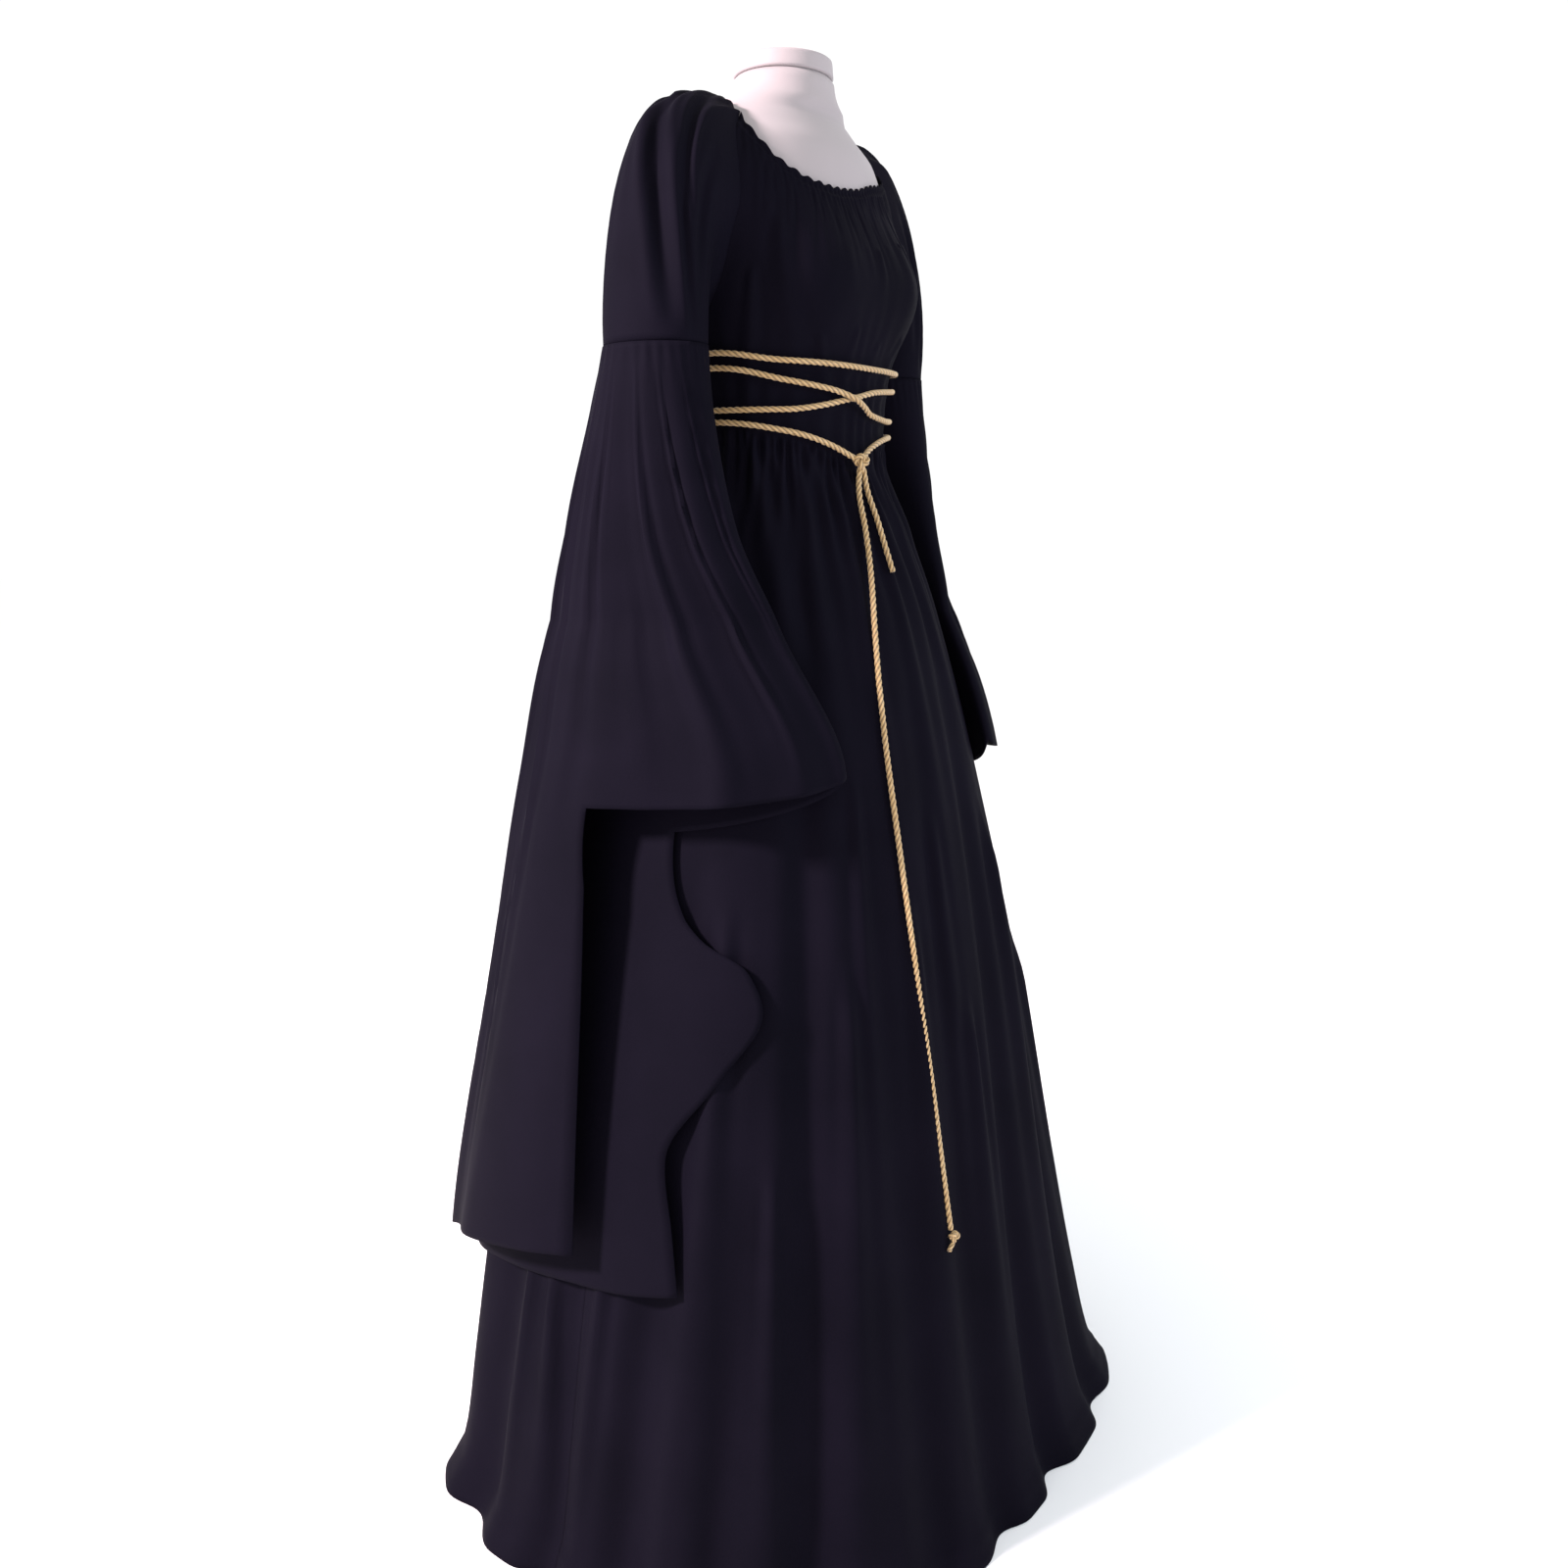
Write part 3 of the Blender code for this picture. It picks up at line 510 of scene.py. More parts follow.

# %% [markdown]
# Cloth that is gathered falls in folds of every size. The largest are in the tables, each
# a valley that deepens from its top to the hem. Smaller creases are strokes: a stroke runs
# from a top spot to a low spot, and across it lies a soft trough with a raised lip on each
# side. Each one is listed, uneven in length, depth and spacing, and seeded draws
# set only the finest gathers.

# %% Folds and creases
Fold = namedtuple("Fold", "top_angle hem_angle half_width depth top")
SKIRT_FOLDS = [
    Fold(-15, -6, 8, 0.018, 0.96), Fold(10, 14, 8, 0.014, 0.86), Fold(32, 30, 7, 0.012, 0.74),
    Fold(50, 51, 8, 0.022, 0.98), Fold(60, 65, 6, 0.014, 0.50), Fold(74, 79, 7, 0.018, 0.72),
    Fold(92, 92, 6, 0.014, 0.50), Fold(108, 110, 9, 0.022, 0.92), Fold(130, 131, 8, 0.018, 0.80),
    Fold(152, 153, 10, 0.022, 0.96), Fold(176, 174, 8, 0.016, 0.80),
    Fold(198, 197, 10, 0.022, 0.96), Fold(222, 221, 8, 0.018, 0.84),
    Fold(246, 245, 9, 0.022, 0.92), Fold(268, 267, 6, 0.014, 0.56),
    Fold(284, 282, 8, 0.018, 0.80), Fold(304, 306, 8, 0.020, 0.94),
    Fold(326, 330, 8, 0.016, 0.80),
]
FOLD_POWER = 0.7


def fold_depth(angle, height):
    depth = np.zeros(np.shape(angle))
    for fold in SKIRT_FOLDS:
        up = np.clip(height / fold.top, 0, 1)
        centre = fold.hem_angle + (fold.top_angle - fold.hem_angle) * up
        away = np.clip(np.abs(turn_between(angle, centre)) / fold.half_width, 0, 1)
        depth += fold.depth * (1 - up) ** FOLD_POWER * (0.5 + 0.5 * np.cos(math.pi * away)) ** 1.3
    return depth


Crease = namedtuple("Crease", "top_angle top_height low_angle low_height width depth")
CREASE_LIP = 0.38


def crease_relief(creases, angle, height, metres_a_degree, onset=0.12):
    """How far the creases move the cloth out; a trough counts as less than nothing."""
    relief = np.zeros(np.shape(angle))
    for crease in creases:
        down = (crease.top_height - height) / (crease.top_height - crease.low_height)
        inside = (down > 0) & (down < 1)
        t = np.clip(down, 0, 1)
        centre = crease.top_angle + (crease.low_angle - crease.top_angle) * t
        width = crease.width * (0.55 + 0.9 * t)
        across = turn_between(angle, centre) * metres_a_degree / width
        shape = bell(across, 1) - CREASE_LIP * (bell(across - 1.7, 0.8) + bell(across + 1.7, 0.8))
        fade = np.sin(0.5 * math.pi * np.minimum(1, t / onset)) ** 1.5 * (1 - t) ** 0.8
        relief -= np.where(inside, crease.depth * fade * shape, 0)
    return relief


BODY_CREASES = [
    Crease(84, 1.095, 72, 0.90, 0.009, 0.0045), Crease(70, 1.092, 43, 0.80, 0.011, 0.0060),
    Crease(58, 1.088, 55, 0.93, 0.007, 0.0040), Crease(47, 1.085, 36, 0.72, 0.010, 0.0055),
    Crease(38, 1.082, 27, 0.88, 0.008, 0.0045), Crease(27, 1.078, 21, 0.66, 0.009, 0.0045),
    Crease(17, 1.072, 12, 0.90, 0.007, 0.0035), Crease(4, 1.070, 3, 0.62, 0.010, 0.0050),
    Crease(-6, 1.078, -12, 0.84, 0.009, 0.0050), Crease(-19, 1.088, -26, 0.70, 0.010, 0.0055),
    Crease(-31, 1.095, -34, 0.90, 0.008, 0.0040), Crease(-43, 1.098, -46, 0.66, 0.011, 0.0060),
    Crease(-58, 1.100, -60, 0.86, 0.009, 0.0045), Crease(-72, 1.100, -74, 0.74, 0.010, 0.0050),
    Crease(-85, 1.100, -88, 0.88, 0.009, 0.0040),
    Crease(100, 1.100, 101, 0.76, 0.010, 0.0050), Crease(116, 1.100, 118, 0.88, 0.009, 0.0045),
    Crease(129, 1.102, 124, 0.70, 0.010, 0.0055), Crease(143, 1.104, 141, 0.86, 0.009, 0.0045),
    Crease(157, 1.106, 163, 0.66, 0.011, 0.0055), Crease(171, 1.108, 169, 0.88, 0.008, 0.0040),
    Crease(184, 1.108, 186, 0.72, 0.010, 0.0055), Crease(197, 1.108, 208, 0.84, 0.009, 0.0045),
    Crease(211, 1.108, 213, 0.64, 0.011, 0.0060), Crease(226, 1.106, 232, 0.86, 0.008, 0.0040),
    Crease(240, 1.104, 237, 0.72, 0.010, 0.0055), Crease(255, 1.100, 257, 0.88, 0.009, 0.0045),
    Crease(67, 0.66, 71, 0.02, 0.014, 0.0075), Crease(41, 0.60, 43, 0.01, 0.013, 0.0070),
    Crease(57, 0.42, 57, 0.00, 0.010, 0.0060), Crease(86, 0.34, 89, 0.00, 0.011, 0.0075),
    Crease(97, 0.30, 94, 0.00, 0.009, 0.0060), Crease(102, 0.36, 104, 0.00, 0.010, 0.0075),
    Crease(36, 0.78, 37, 0.30, 0.010, 0.0045), Crease(8, 0.74, 9, 0.24, 0.011, 0.0050),
    Crease(22, 0.66, 22, 0.02, 0.015, 0.0080), Crease(3, 0.54, 4, 0.01, 0.013, 0.0070),
    Crease(-27, 0.72, -20, 0.02, 0.016, 0.0085), Crease(-42, 0.56, -43, 0.01, 0.014, 0.0070),
    Crease(-66, 0.62, -64, 0.02, 0.015, 0.0075), Crease(120, 0.62, 121, 0.02, 0.015, 0.0075),
    Crease(141, 0.52, 142, 0.01, 0.013, 0.0070), Crease(165, 0.66, 164, 0.02, 0.016, 0.0085),
    Crease(186, 0.56, 185, 0.01, 0.013, 0.0070), Crease(210, 0.64, 209, 0.02, 0.015, 0.0080),
    Crease(234, 0.54, 233, 0.01, 0.014, 0.0070), Crease(258, 0.62, 256, 0.02, 0.014, 0.0070),
    Crease(57, 1.31, 50, 1.12, 0.010, 0.0030), Crease(44, 1.34, 45, 1.23, 0.007, 0.0028),
    Crease(34, 1.33, 31, 1.26, 0.007, 0.0022), Crease(23, 1.34, 26, 1.22, 0.007, 0.0024),
    Crease(11, 1.34, 12, 1.27, 0.006, 0.0020), Crease(-2, 1.34, 1, 1.21, 0.008, 0.0024),
    Crease(-15, 1.34, -12, 1.26, 0.007, 0.0020), Crease(-28, 1.33, -26, 1.22, 0.008, 0.0024),
    Crease(-41, 1.34, -42, 1.24, 0.008, 0.0026), Crease(-55, 1.31, -52, 1.12, 0.010, 0.0030),
    Crease(38, 1.20, 29, 1.13, 0.007, 0.0020), Crease(14, 1.21, 17, 1.14, 0.007, 0.0022),
    Crease(-8, 1.20, -4, 1.13, 0.007, 0.0020), Crease(-33, 1.21, -24, 1.14, 0.008, 0.0022),
    Crease(67, 1.26, 72, 1.10, 0.008, 0.0034), Crease(-67, 1.26, -72, 1.11, 0.008, 0.0034),
    Crease(128, 1.39, 126, 1.12, 0.010, 0.0034), Crease(146, 1.40, 144, 1.20, 0.008, 0.0030),
    Crease(161, 1.39, 160, 1.10, 0.010, 0.0036), Crease(176, 1.40, 176, 1.22, 0.008, 0.0030),
    Crease(191, 1.39, 192, 1.11, 0.010, 0.0036), Crease(207, 1.40, 209, 1.20, 0.008, 0.0030),
    Crease(224, 1.39, 228, 1.12, 0.010, 0.0034), Crease(240, 1.38, 244, 1.18, 0.009, 0.0030),
]
draw = np.random.default_rng(7)


def fine_gathers(first, last, spacing, top, shortest, longest, width, depth, spread=0.0):
    """Short gathers in a row, each with its own place, length and depth."""
    made, angle = [], first
    while angle < last:
        length = draw.uniform(shortest, longest)
        lean = draw.normal(0, 1.2) + spread * (angle - (first + last) / 2)
        made.append(Crease(angle, top(angle), angle + lean, top(angle) - length,
                           width * draw.uniform(0.8, 1.25), depth * draw.uniform(0.5, 1.15)))
        angle += spacing * draw.uniform(0.7, 1.3)
    return made


def belt_heights(angle):
    """How high each of the belt's four turns lies at an angle."""
    angles, heights = [spot.angle for spot in BELT_ROUTE], [spot.height for spot in BELT_ROUTE]
    return [curve(angles, heights, angle % 360 + 360 * turn) for turn in range(4)]


def lowest_turn(angle):
    return min(float(height) for height in belt_heights(np.array(float(angle))))


WAIST_STROKES = fine_gathers(-90, 270, 4.4, lambda a: lowest_turn(a) - 0.004, 0.030, 0.13, 0.0044, 0.0050)
print("creases:", len(BODY_CREASES), "waist gathers:", len(WAIST_STROKES))

# %% [markdown]
# The belt pulls the cloth in under each turn, and the cloth puffs out a little between the
# turns. A casing with the elastic in it runs along the neckline: it is a narrow band with
# tight ripples and a scalloped edge, and below it the gathers fan out.

# %% Waist and neckline
PUFF, PINCH_SPREAD = 0.0030, 0.0065
CASING_DEPTH, CASING_SWELL, RIPPLE = 0.010, 0.0011, 0.0010


def waist_relief(angle, height):
    near = sum(bell(height - turn, PINCH_SPREAD) for turn in belt_heights(angle))
    held = bell(height - 1.125, 0.075)
    wave = 0.6 + 0.4 * np.sin(np.radians(angle) * 29 + 1.7 * np.sin(np.radians(angle) * 5))
    return PUFF * held * wave * np.clip(1 - near, 0, 1)


def casing_relief(drop, phase):
    """The casing at a distance below the edge; the phase counts its scallops."""
    band = bell((drop - CASING_DEPTH * 0.5) / CASING_DEPTH, 0.45)
    stitch = bell((drop - CASING_DEPTH) / CASING_DEPTH, 0.18)
    ripple = 0.5 + 0.5 * np.cos(4 * math.pi * phase + 0.8 * np.sin(2 * math.pi * phase * 0.37))
    below = np.clip(1 - (drop - CASING_DEPTH) / 0.035, 0, 1) * (drop > CASING_DEPTH)
    return (CASING_SWELL * band + RIPPLE * ripple * np.maximum(band, below ** 1.5)
            - 0.0004 * stitch)


# %% [markdown]
# A piece of cloth is laid as a flat grid, then each of its points is moved to its place on
# the gown and out or in by the relief. Normals are worked out from the smooth place alone,
# by looking a little way along each side. Solidify gives the wall its thickness inwards.

# %% Lay a piece of cloth
THICKNESS = 0.0012
LOOK = 0.002


def relieved(base, relief, sign=1.0):
    """A place function that is moved along its own normal by a relief."""

    def place(u, v):
        low_v, high_v = np.clip(v - LOOK, 0, 1), np.clip(v + LOOK, 0, 1)
        across = base(u + LOOK, v) - base(u - LOOK, v)
        along = base(u, high_v) - base(u, low_v)
        out = np.cross(across, along)
        size = np.linalg.norm(out, axis=-1)
        out = sign * out / np.maximum(size, 1e-12)[:, None]
        return base(u, v) + out * relief(u, v)[:, None]

    return place


def finish_cloth(name, shape, facing, node):
    """Merges the seams, turns all faces out and gives the wall its thickness."""
    bmesh.ops.remove_doubles(shape, verts=shape.verts, dist=2e-4)
    bmesh.ops.recalc_face_normals(shape, faces=shape.faces)
    spot, way = facing
    nearest = min(shape.faces, key=lambda face: (np.array(face.calc_center_median()) - spot).dot(
        np.array(face.calc_center_median()) - spot))
    if np.array(nearest.normal).dot(way) < 0:
        bmesh.ops.reverse_faces(shape, faces=shape.faces)
    piece = finish_mesh(name, shape, black_crepe)
    wall = piece.modifiers.new("wall", "SOLIDIFY")
    wall.thickness = THICKNESS
    wall.offset = -1
    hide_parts(node)
    print(name, "faces:", len(piece.data.polygons))
    return piece


# %% [markdown]
# Front and back are each cut in one from the neckline to the hem. Below the underarm their
# side edges meet at the side seams. Above it they narrow along the raglan seams.

# %% Front and back
UNDERARM_HEIGHT = 1.205
FRONT_CORNER_HEIGHT, BACK_NECK_HEIGHT, SHOULDER_NECK_HEIGHT = 1.402, 1.416, 1.419
Raglan = namedtuple("Raglan", "share front back")
RAGLAN = [
    Raglan(0.0, 90.0, 90.0), Raglan(0.2, 79.5, 77.0), Raglan(0.4, 74.5, 70.0),
    Raglan(0.6, 71.0, 65.0), Raglan(1.0, 77.0, 62.0),
]
NeckDip = namedtuple("NeckDip", "across height")
FRONT_NECKLINE = [
    NeckDip(-1.0, FRONT_CORNER_HEIGHT), NeckDip(-0.8, 1.378), NeckDip(-0.5, 1.360),
    NeckDip(-0.25, 1.353), NeckDip(0.0, 1.344), NeckDip(0.3, 1.340), NeckDip(0.52, 1.343),
    NeckDip(0.73, 1.357), NeckDip(0.87, 1.379), NeckDip(1.0, FRONT_CORNER_HEIGHT),
]
PANEL_LEVELS = (
    (0.0, 0.0), (0.03, 0.03), (0.27, 0.78), (0.52, 1.05), (0.60, 1.10), (0.70, 1.18),
    (0.74, UNDERARM_HEIGHT), (0.84, UNDERARM_HEIGHT + 0.5), (0.92, UNDERARM_HEIGHT + 0.86),
    (1.0, UNDERARM_HEIGHT + 1.0),
)
FRONT_SCALLOPS, BACK_SCALLOPS, SCALLOP = 11.0, 9.0, 0.0012
HEM_HEIGHT, HEM_STITCH, FLOOR_CLEAR = 0.022, 0.0009, 0.0006
SEAM_SINK, SEAM_REACH, TURN_IN = 0.0013, 0.006, 2.2


def panel_spot(u, v, centre):
    """Angle, height, drop below the neckline and way across, for a front or back."""
    across = np.clip(2 * u - 1, -1.02, 1.02)
    level = np.interp(v, *zip(*PANEL_LEVELS))
    share = np.clip(level - UNDERARM_HEIGHT, 0, 1)
    row = read(RAGLAN, share)
    if centre == 0:
        limit, scallops = row.front, FRONT_SCALLOPS
        top = read(FRONT_NECKLINE, across).height
    else:
        limit, scallops = row.back, BACK_SCALLOPS
        top = np.full(np.shape(across), BACK_NECK_HEIGHT)
    height = np.where(level < UNDERARM_HEIGHT, level, UNDERARM_HEIGHT + share * (top - UNDERARM_HEIGHT))
    edge = np.clip(1 - (top - height) / CASING_DEPTH, 0, 1)
    height = height + SCALLOP * edge * np.cos(2 * math.pi * scallops * across)
    turn_in = TURN_IN * np.clip(share / 0.1, 0, 1) * np.clip((1 - share) / 0.08, 0, 1)
    turn_in = turn_in * np.abs(across) ** 8 * np.sign(across)
    return centre + across * limit + turn_in, height, top - height, across


def add_panel(name, node, centre, columns, rows, cut):
    scallops = FRONT_SCALLOPS if centre == 0 else BACK_SCALLOPS
    side = -1 if centre == 0 else 1
    first = -78 if centre == 0 else 116
    strokes = fine_gathers(first, first + 2 * abs(centre - first), 5.0,
                           lambda a: neck_top(a, centre) - 0.006, 0.03, 0.11, 0.0036, 0.0026)

    def base(u, v):
        angle, height, _, _ = panel_spot(u, v, centre)
        points = place_at(angle, height, gown_radius(angle, height) - fold_depth(angle, height))
        low = height < UNDERARM_HEIGHT
        gap = side * SEAM / 2
        beyond = points[:, 1] * side < gap * side
        points[:, 1] = np.where(low & beyond, gap, points[:, 1])
        return points

    def relief(u, v):
        angle, height, drop, across = panel_spot(u, v, centre)
        wide = gown_radius(angle, height) * math.pi / 180
        body = crease_relief(BODY_CREASES, angle, height, wide)
        body += crease_relief(strokes, angle, height, wide)
        body += np.where(height < UNDERARM_HEIGHT, crease_relief(WAIST_STROKES, angle, height, wide), 0)
        body += waist_relief(angle, height)
        edge = (1 - np.abs(across)) * wide * 85
        calm = np.clip(edge / 0.025, 0, 1)
        seam = SEAM_SINK * np.exp(-(edge / SEAM_REACH) ** 2)
        neck = np.clip((drop - 0.5 * CASING_DEPTH) / 0.03, 0, 1)
        hem = -HEM_STITCH * bell(height - HEM_HEIGHT, 0.004)
        body = body * calm * np.maximum(neck, 0) + hem
        body = np.where(drop < 0.06, np.maximum(body, -0.0004), body)
        return body + casing_relief(drop, scallops * across) - seam

    laid = relieved(base, relief, 1.0)

    def place(u, v):
        points = laid(u, v)
        points[:, 2] = np.maximum(points[:, 2], FLOOR_CLEAR)
        return points

    shape = bmesh.new()
    lay_grid(shape, columns, rows, place, (0, 0, *cut))
    spot = np.array([0, side * 0.15, 0.9])
    piece = finish_cloth(name, shape, (spot, np.array([0, side, 0])), node)
    return piece


def neck_top(angle, centre):
    if centre:
        return BACK_NECK_HEIGHT
    return float(read(FRONT_NECKLINE, np.array(angle / 77.0)).height)


front = add_panel("front", "front_panel", 0, 236, 190, (1.24, 1.44))
back = add_panel("back", "back_panel", 180, 190, 160, (1.24, 1.50))

# %% [markdown]
# A sleeve falls from the elbow as a flattened tube. A turn goes round it: 0 is its front
# fold, 90 its outer layer, 180 its back fold and 270 the layer next to the skirt.

# %% The falling sleeve
Fall = namedtuple("Fall", "height front back near far squareness")
SLEEVE_FALL = [
    Fall(0.250, 40.0, 136.0, 0.006, 0.052, 2.6), Fall(0.560, 40.0, 134.0, 0.006, 0.066, 2.6),
    Fall(0.779, 40.0, 130.0, 0.006, 0.088, 2.5), Fall(0.920, 56.3, 126.0, 0.006, 0.104, 2.3),
    Fall(1.010, 67.7, 120.0, 0.006, 0.100, 2.2), Fall(1.110, 74.0, 113.0, 0.004, 0.095, 2.0),
    Fall(1.180, 77.0, 107.6, 0.000, 0.092, 2.0),
]
ELBOW_HEIGHT, ELBOW_RADIUS = 1.18, 0.152
FRONT_LEAN, FALL_LENGTH, HIP_HEIGHT = 0.30, 0.25, 0.92
SleeveFold = namedtuple("SleeveFold", "turn half_width depth")
SLEEVE_FOLDS = [
    SleeveFold(30, 16, 0.010), SleeveFold(58, 13, 0.008), SleeveFold(84, 13, 0.013),
    SleeveFold(130, 16, 0.010), SleeveFold(156, 12, 0.007), SleeveFold(236, 14, 0.003),
]


def hang_radius(angle, height):
    up = np.clip((height - HIP_HEIGHT) / (ELBOW_HEIGHT - HIP_HEIGHT), 0, 1)
    low = gown_radius(angle, np.minimum(height, HIP_HEIGHT))
    return low * (1 - up) + ELBOW_RADIUS * up


def sleeve_point(turn, height):
    row = read(SLEEVE_FALL, height)
    power = 2 / row.squareness
    along, out = -np.cos(np.radians(turn)), np.sin(np.radians(turn))
    span = np.sign(along) * np.abs(along) ** power
    layer = np.sign(out) * np.abs(out) ** power
    angle = (row.front + row.back) / 2 + (row.back - row.front) / 2 * span
    fall = np.clip((ELBOW_HEIGHT - height) / FALL_LENGTH, 0, 1)
    for fold in SLEEVE_FOLDS:
        away = np.clip(np.abs(turn_between(turn, fold.turn)) / fold.half_width, 0, 1)
        layer = layer - (np.sign(out) * fold.depth * fall * (1 + np.cos(math.pi * away))
                         / (row.far - row.near))
    lean = 1 - FRONT_LEAN * fall * (1 - span)
    stand = row.near + (row.far - row.near) * lean * (1 + layer) / 2
    return place_at(angle, height, hang_radius(angle, height) + stand)


def turn_at(angle, height, outer):
    row = read(SLEEVE_FALL, height)
    span = (angle - (row.front + row.back) / 2) / ((row.back - row.front) / 2)
    span = np.clip(span, -1, 1)
    turn = np.degrees(np.arccos(-np.sign(span) * np.abs(span) ** (row.squareness / 2)))
    return turn if outer else 360 - turn


# %% [markdown]
# The lower sleeve is a tube as far as the wrist. Below the wrist it is open towards the
# front, and only its back part goes on down, as a drop with two free edges and a pointed
# inner edge. So it is laid as two grids that share the wrist line between the edges.

# %% Lower sleeves
WRIST_FRONT_HEIGHT, WRIST_OUTER_HEIGHT, WRIST_INNER_HEIGHT = 0.779, 0.750, 0.725
Drop = namedtuple("Drop", "inner_height inner_angle outer_angle")
SLEEVE_DROP = [
    Drop(WRIST_INNER_HEIGHT, 80.5, 94.4), Drop(0.651, 76.6, 93.4), Drop(0.628, 72.0, 93.1),
    Drop(0.601, 62.1, 92.7), Drop(0.564, 59.0, 92.2), Drop(0.501, 66.8, 91.3),
    Drop(0.426, 75.7, 90.2), Drop(0.360, 73.5, 89.2), Drop(0.304, 71.8, 88.4),
]
DropHem = namedtuple("DropHem", "across height")
DROP_HEM = [
    DropHem(0.0, 0.332), DropHem(0.15, 0.298), DropHem(0.35, 0.256), DropHem(0.5, 0.246),
    DropHem(0.65, 0.254), DropHem(0.85, 0.280), DropHem(1.0, 0.304),
]
OUTER_COLUMNS, DROP_COLUMNS, INNER_COLUMNS = 60, 100, 40
TUBE_ROWS, DROP_ROWS = 84, 84
top_turn = float(turn_at(np.array(SLEEVE_DROP[0].outer_angle), np.array(WRIST_OUTER_HEIGHT), True))
end_turn = float(turn_at(np.array(SLEEVE_DROP[0].inner_angle), np.array(WRIST_INNER_HEIGHT), False))
SLEEVE_COLUMNS = OUTER_COLUMNS + DROP_COLUMNS + INNER_COLUMNS
RING_PLACES = (0, OUTER_COLUMNS / SLEEVE_COLUMNS,
               (OUTER_COLUMNS + DROP_COLUMNS) / SLEEVE_COLUMNS, 1)
RING_TURNS = (0, top_turn, end_turn, 360)
RING_HEIGHTS = (WRIST_FRONT_HEIGHT, WRIST_OUTER_HEIGHT, WRIST_INNER_HEIGHT, WRIST_FRONT_HEIGHT)
RIGHT_SLEEVE_CREASES = [
    Crease(98, 1.178, 104, 0.70, 0.015, -0.0085), Crease(78, 1.176, 70, 0.70, 0.020, 0.0105),
    Crease(118, 1.176, 124, 0.34, 0.014, 0.0100), Crease(60, 1.176, 44, 0.80, 0.012, 0.0070),
    Crease(38, 1.176, 24, 0.90, 0.010, 0.0040), Crease(138, 1.176, 146, 0.62, 0.012, 0.0050),
    Crease(152, 1.176, 160, 0.80, 0.010, 0.0040), Crease(108, 1.176, 112, 0.92, 0.009, 0.0035),
    Crease(88, 0.98, 90, 0.76, 0.010, 0.0035), Crease(50, 0.95, 46, 0.77, 0.012, 0.0040),
    Crease(134, 0.72, 130, 0.30, 0.014, 0.0045), Crease(160, 0.66, 152, 0.28, 0.014, 0.0050),
    Crease(196, 1.17, 200, 0.60, 0.012, 0.0040), Crease(236, 0.56, 205, 0.30, 0.012, 0.0050),
    Crease(222, 0.52, 196, 0.33, 0.010, -0.0030), Crease(250, 1.10, 246, 0.80, 0.010, 0.0030),
]
LEFT_SLEEVE_CREASES = [
    Crease(94, 1.178, 100, 0.76, 0.012, -0.0070), Crease(74, 1.176, 66, 0.77, 0.017, 0.0100),
    Crease(114, 1.176, 118, 0.38, 0.012, 0.0090), Crease(56, 1.176, 42, 0.80, 0.011, 0.0065),
    Crease(36, 1.176, 26, 0.86, 0.010, 0.0045), Crease(132, 1.176, 140, 0.56, 0.013, 0.0050),
    Crease(150, 1.176, 156, 0.84, 0.010, 0.0040), Crease(44, 0.96, 52, 0.77, 0.012, 0.0045),
    Crease(84, 0.94, 84, 0.76, 0.010, 0.0035), Crease(128, 0.70, 124, 0.29, 0.013, 0.0045),
    Crease(158, 0.62, 150, 0.27, 0.014, 0.0050), Crease(200, 1.17, 204, 0.64, 0.012, 0.0040),
    Crease(230, 0.54, 202, 0.30, 0.012, 0.0045), Crease(252, 1.08, 246, 0.82, 0.010, 0.0030),
]
ELBOW_GATHERS, ELBOW_GATHER_DEPTH, ELBOW_GATHER_FALL = 34, 0.0009, 0.05
SLEEVE_ONSET, WRIST_SETTLE = 0.45, 0.176


def tube_spot(u, v):
    u = u % 1.0
    turn, end = np.interp(u, RING_PLACES, RING_TURNS), np.interp(u, RING_PLACES, RING_HEIGHTS)
    return turn, end + (ELBOW_HEIGHT - end) * v


def drop_spot(u, v):
    across, fall = u, 1 - v
    inner_heights = [row.inner_height for row in SLEEVE_DROP]
    lowest = SLEEVE_DROP[-1].inner_height
    inner = WRIST_INNER_HEIGHT - fall * (WRIST_INNER_HEIGHT - lowest)
    places = inner_heights[::-1]
    outer_angle = np.interp(inner, places, [row.outer_angle for row in SLEEVE_DROP][::-1])
    inner_angle = curve(places, [row.inner_angle for row in SLEEVE_DROP][::-1], inner)
    top = WRIST_OUTER_HEIGHT + (WRIST_INNER_HEIGHT - WRIST_OUTER_HEIGHT) * across
    height = top + (read(DROP_HEM, np.clip(across, 0, 1)).height - top) * fall
    first, last = turn_at(outer_angle, height, True), turn_at(inner_angle, height, False)
    turn = first + (last - first) * across
    settled = np.clip(fall / WRIST_SETTLE, 0, 1)
    ring = top_turn + (end_turn - top_turn) * across
    return ring + (turn - ring) * settled, height


def sleeve_relief(creases, turn, height):
    wide = 0.42 * math.pi / 180
    relief = crease_relief(creases, turn, height, wide, SLEEVE_ONSET)
    near = np.clip((ELBOW_HEIGHT - height) / ELBOW_GATHER_FALL, 0, 1)
    gathers = np.cos(np.radians(turn * ELBOW_GATHERS)) * (0.7 + 0.3 * np.sin(np.radians(turn * 7)))
    relief = relief * np.clip((ELBOW_HEIGHT - height) / 0.03, 0, 1)
    relief += ELBOW_GATHER_DEPTH * gathers * (1 - near) ** 1.5 * np.clip(near / 0.12, 0, 1)
    relief += -0.0004 * bell(ELBOW_HEIGHT - height, 0.004)
    against_skirt = bell(turn_between(turn, 270), 52)
    return relief * (1 - 0.85 * against_skirt)


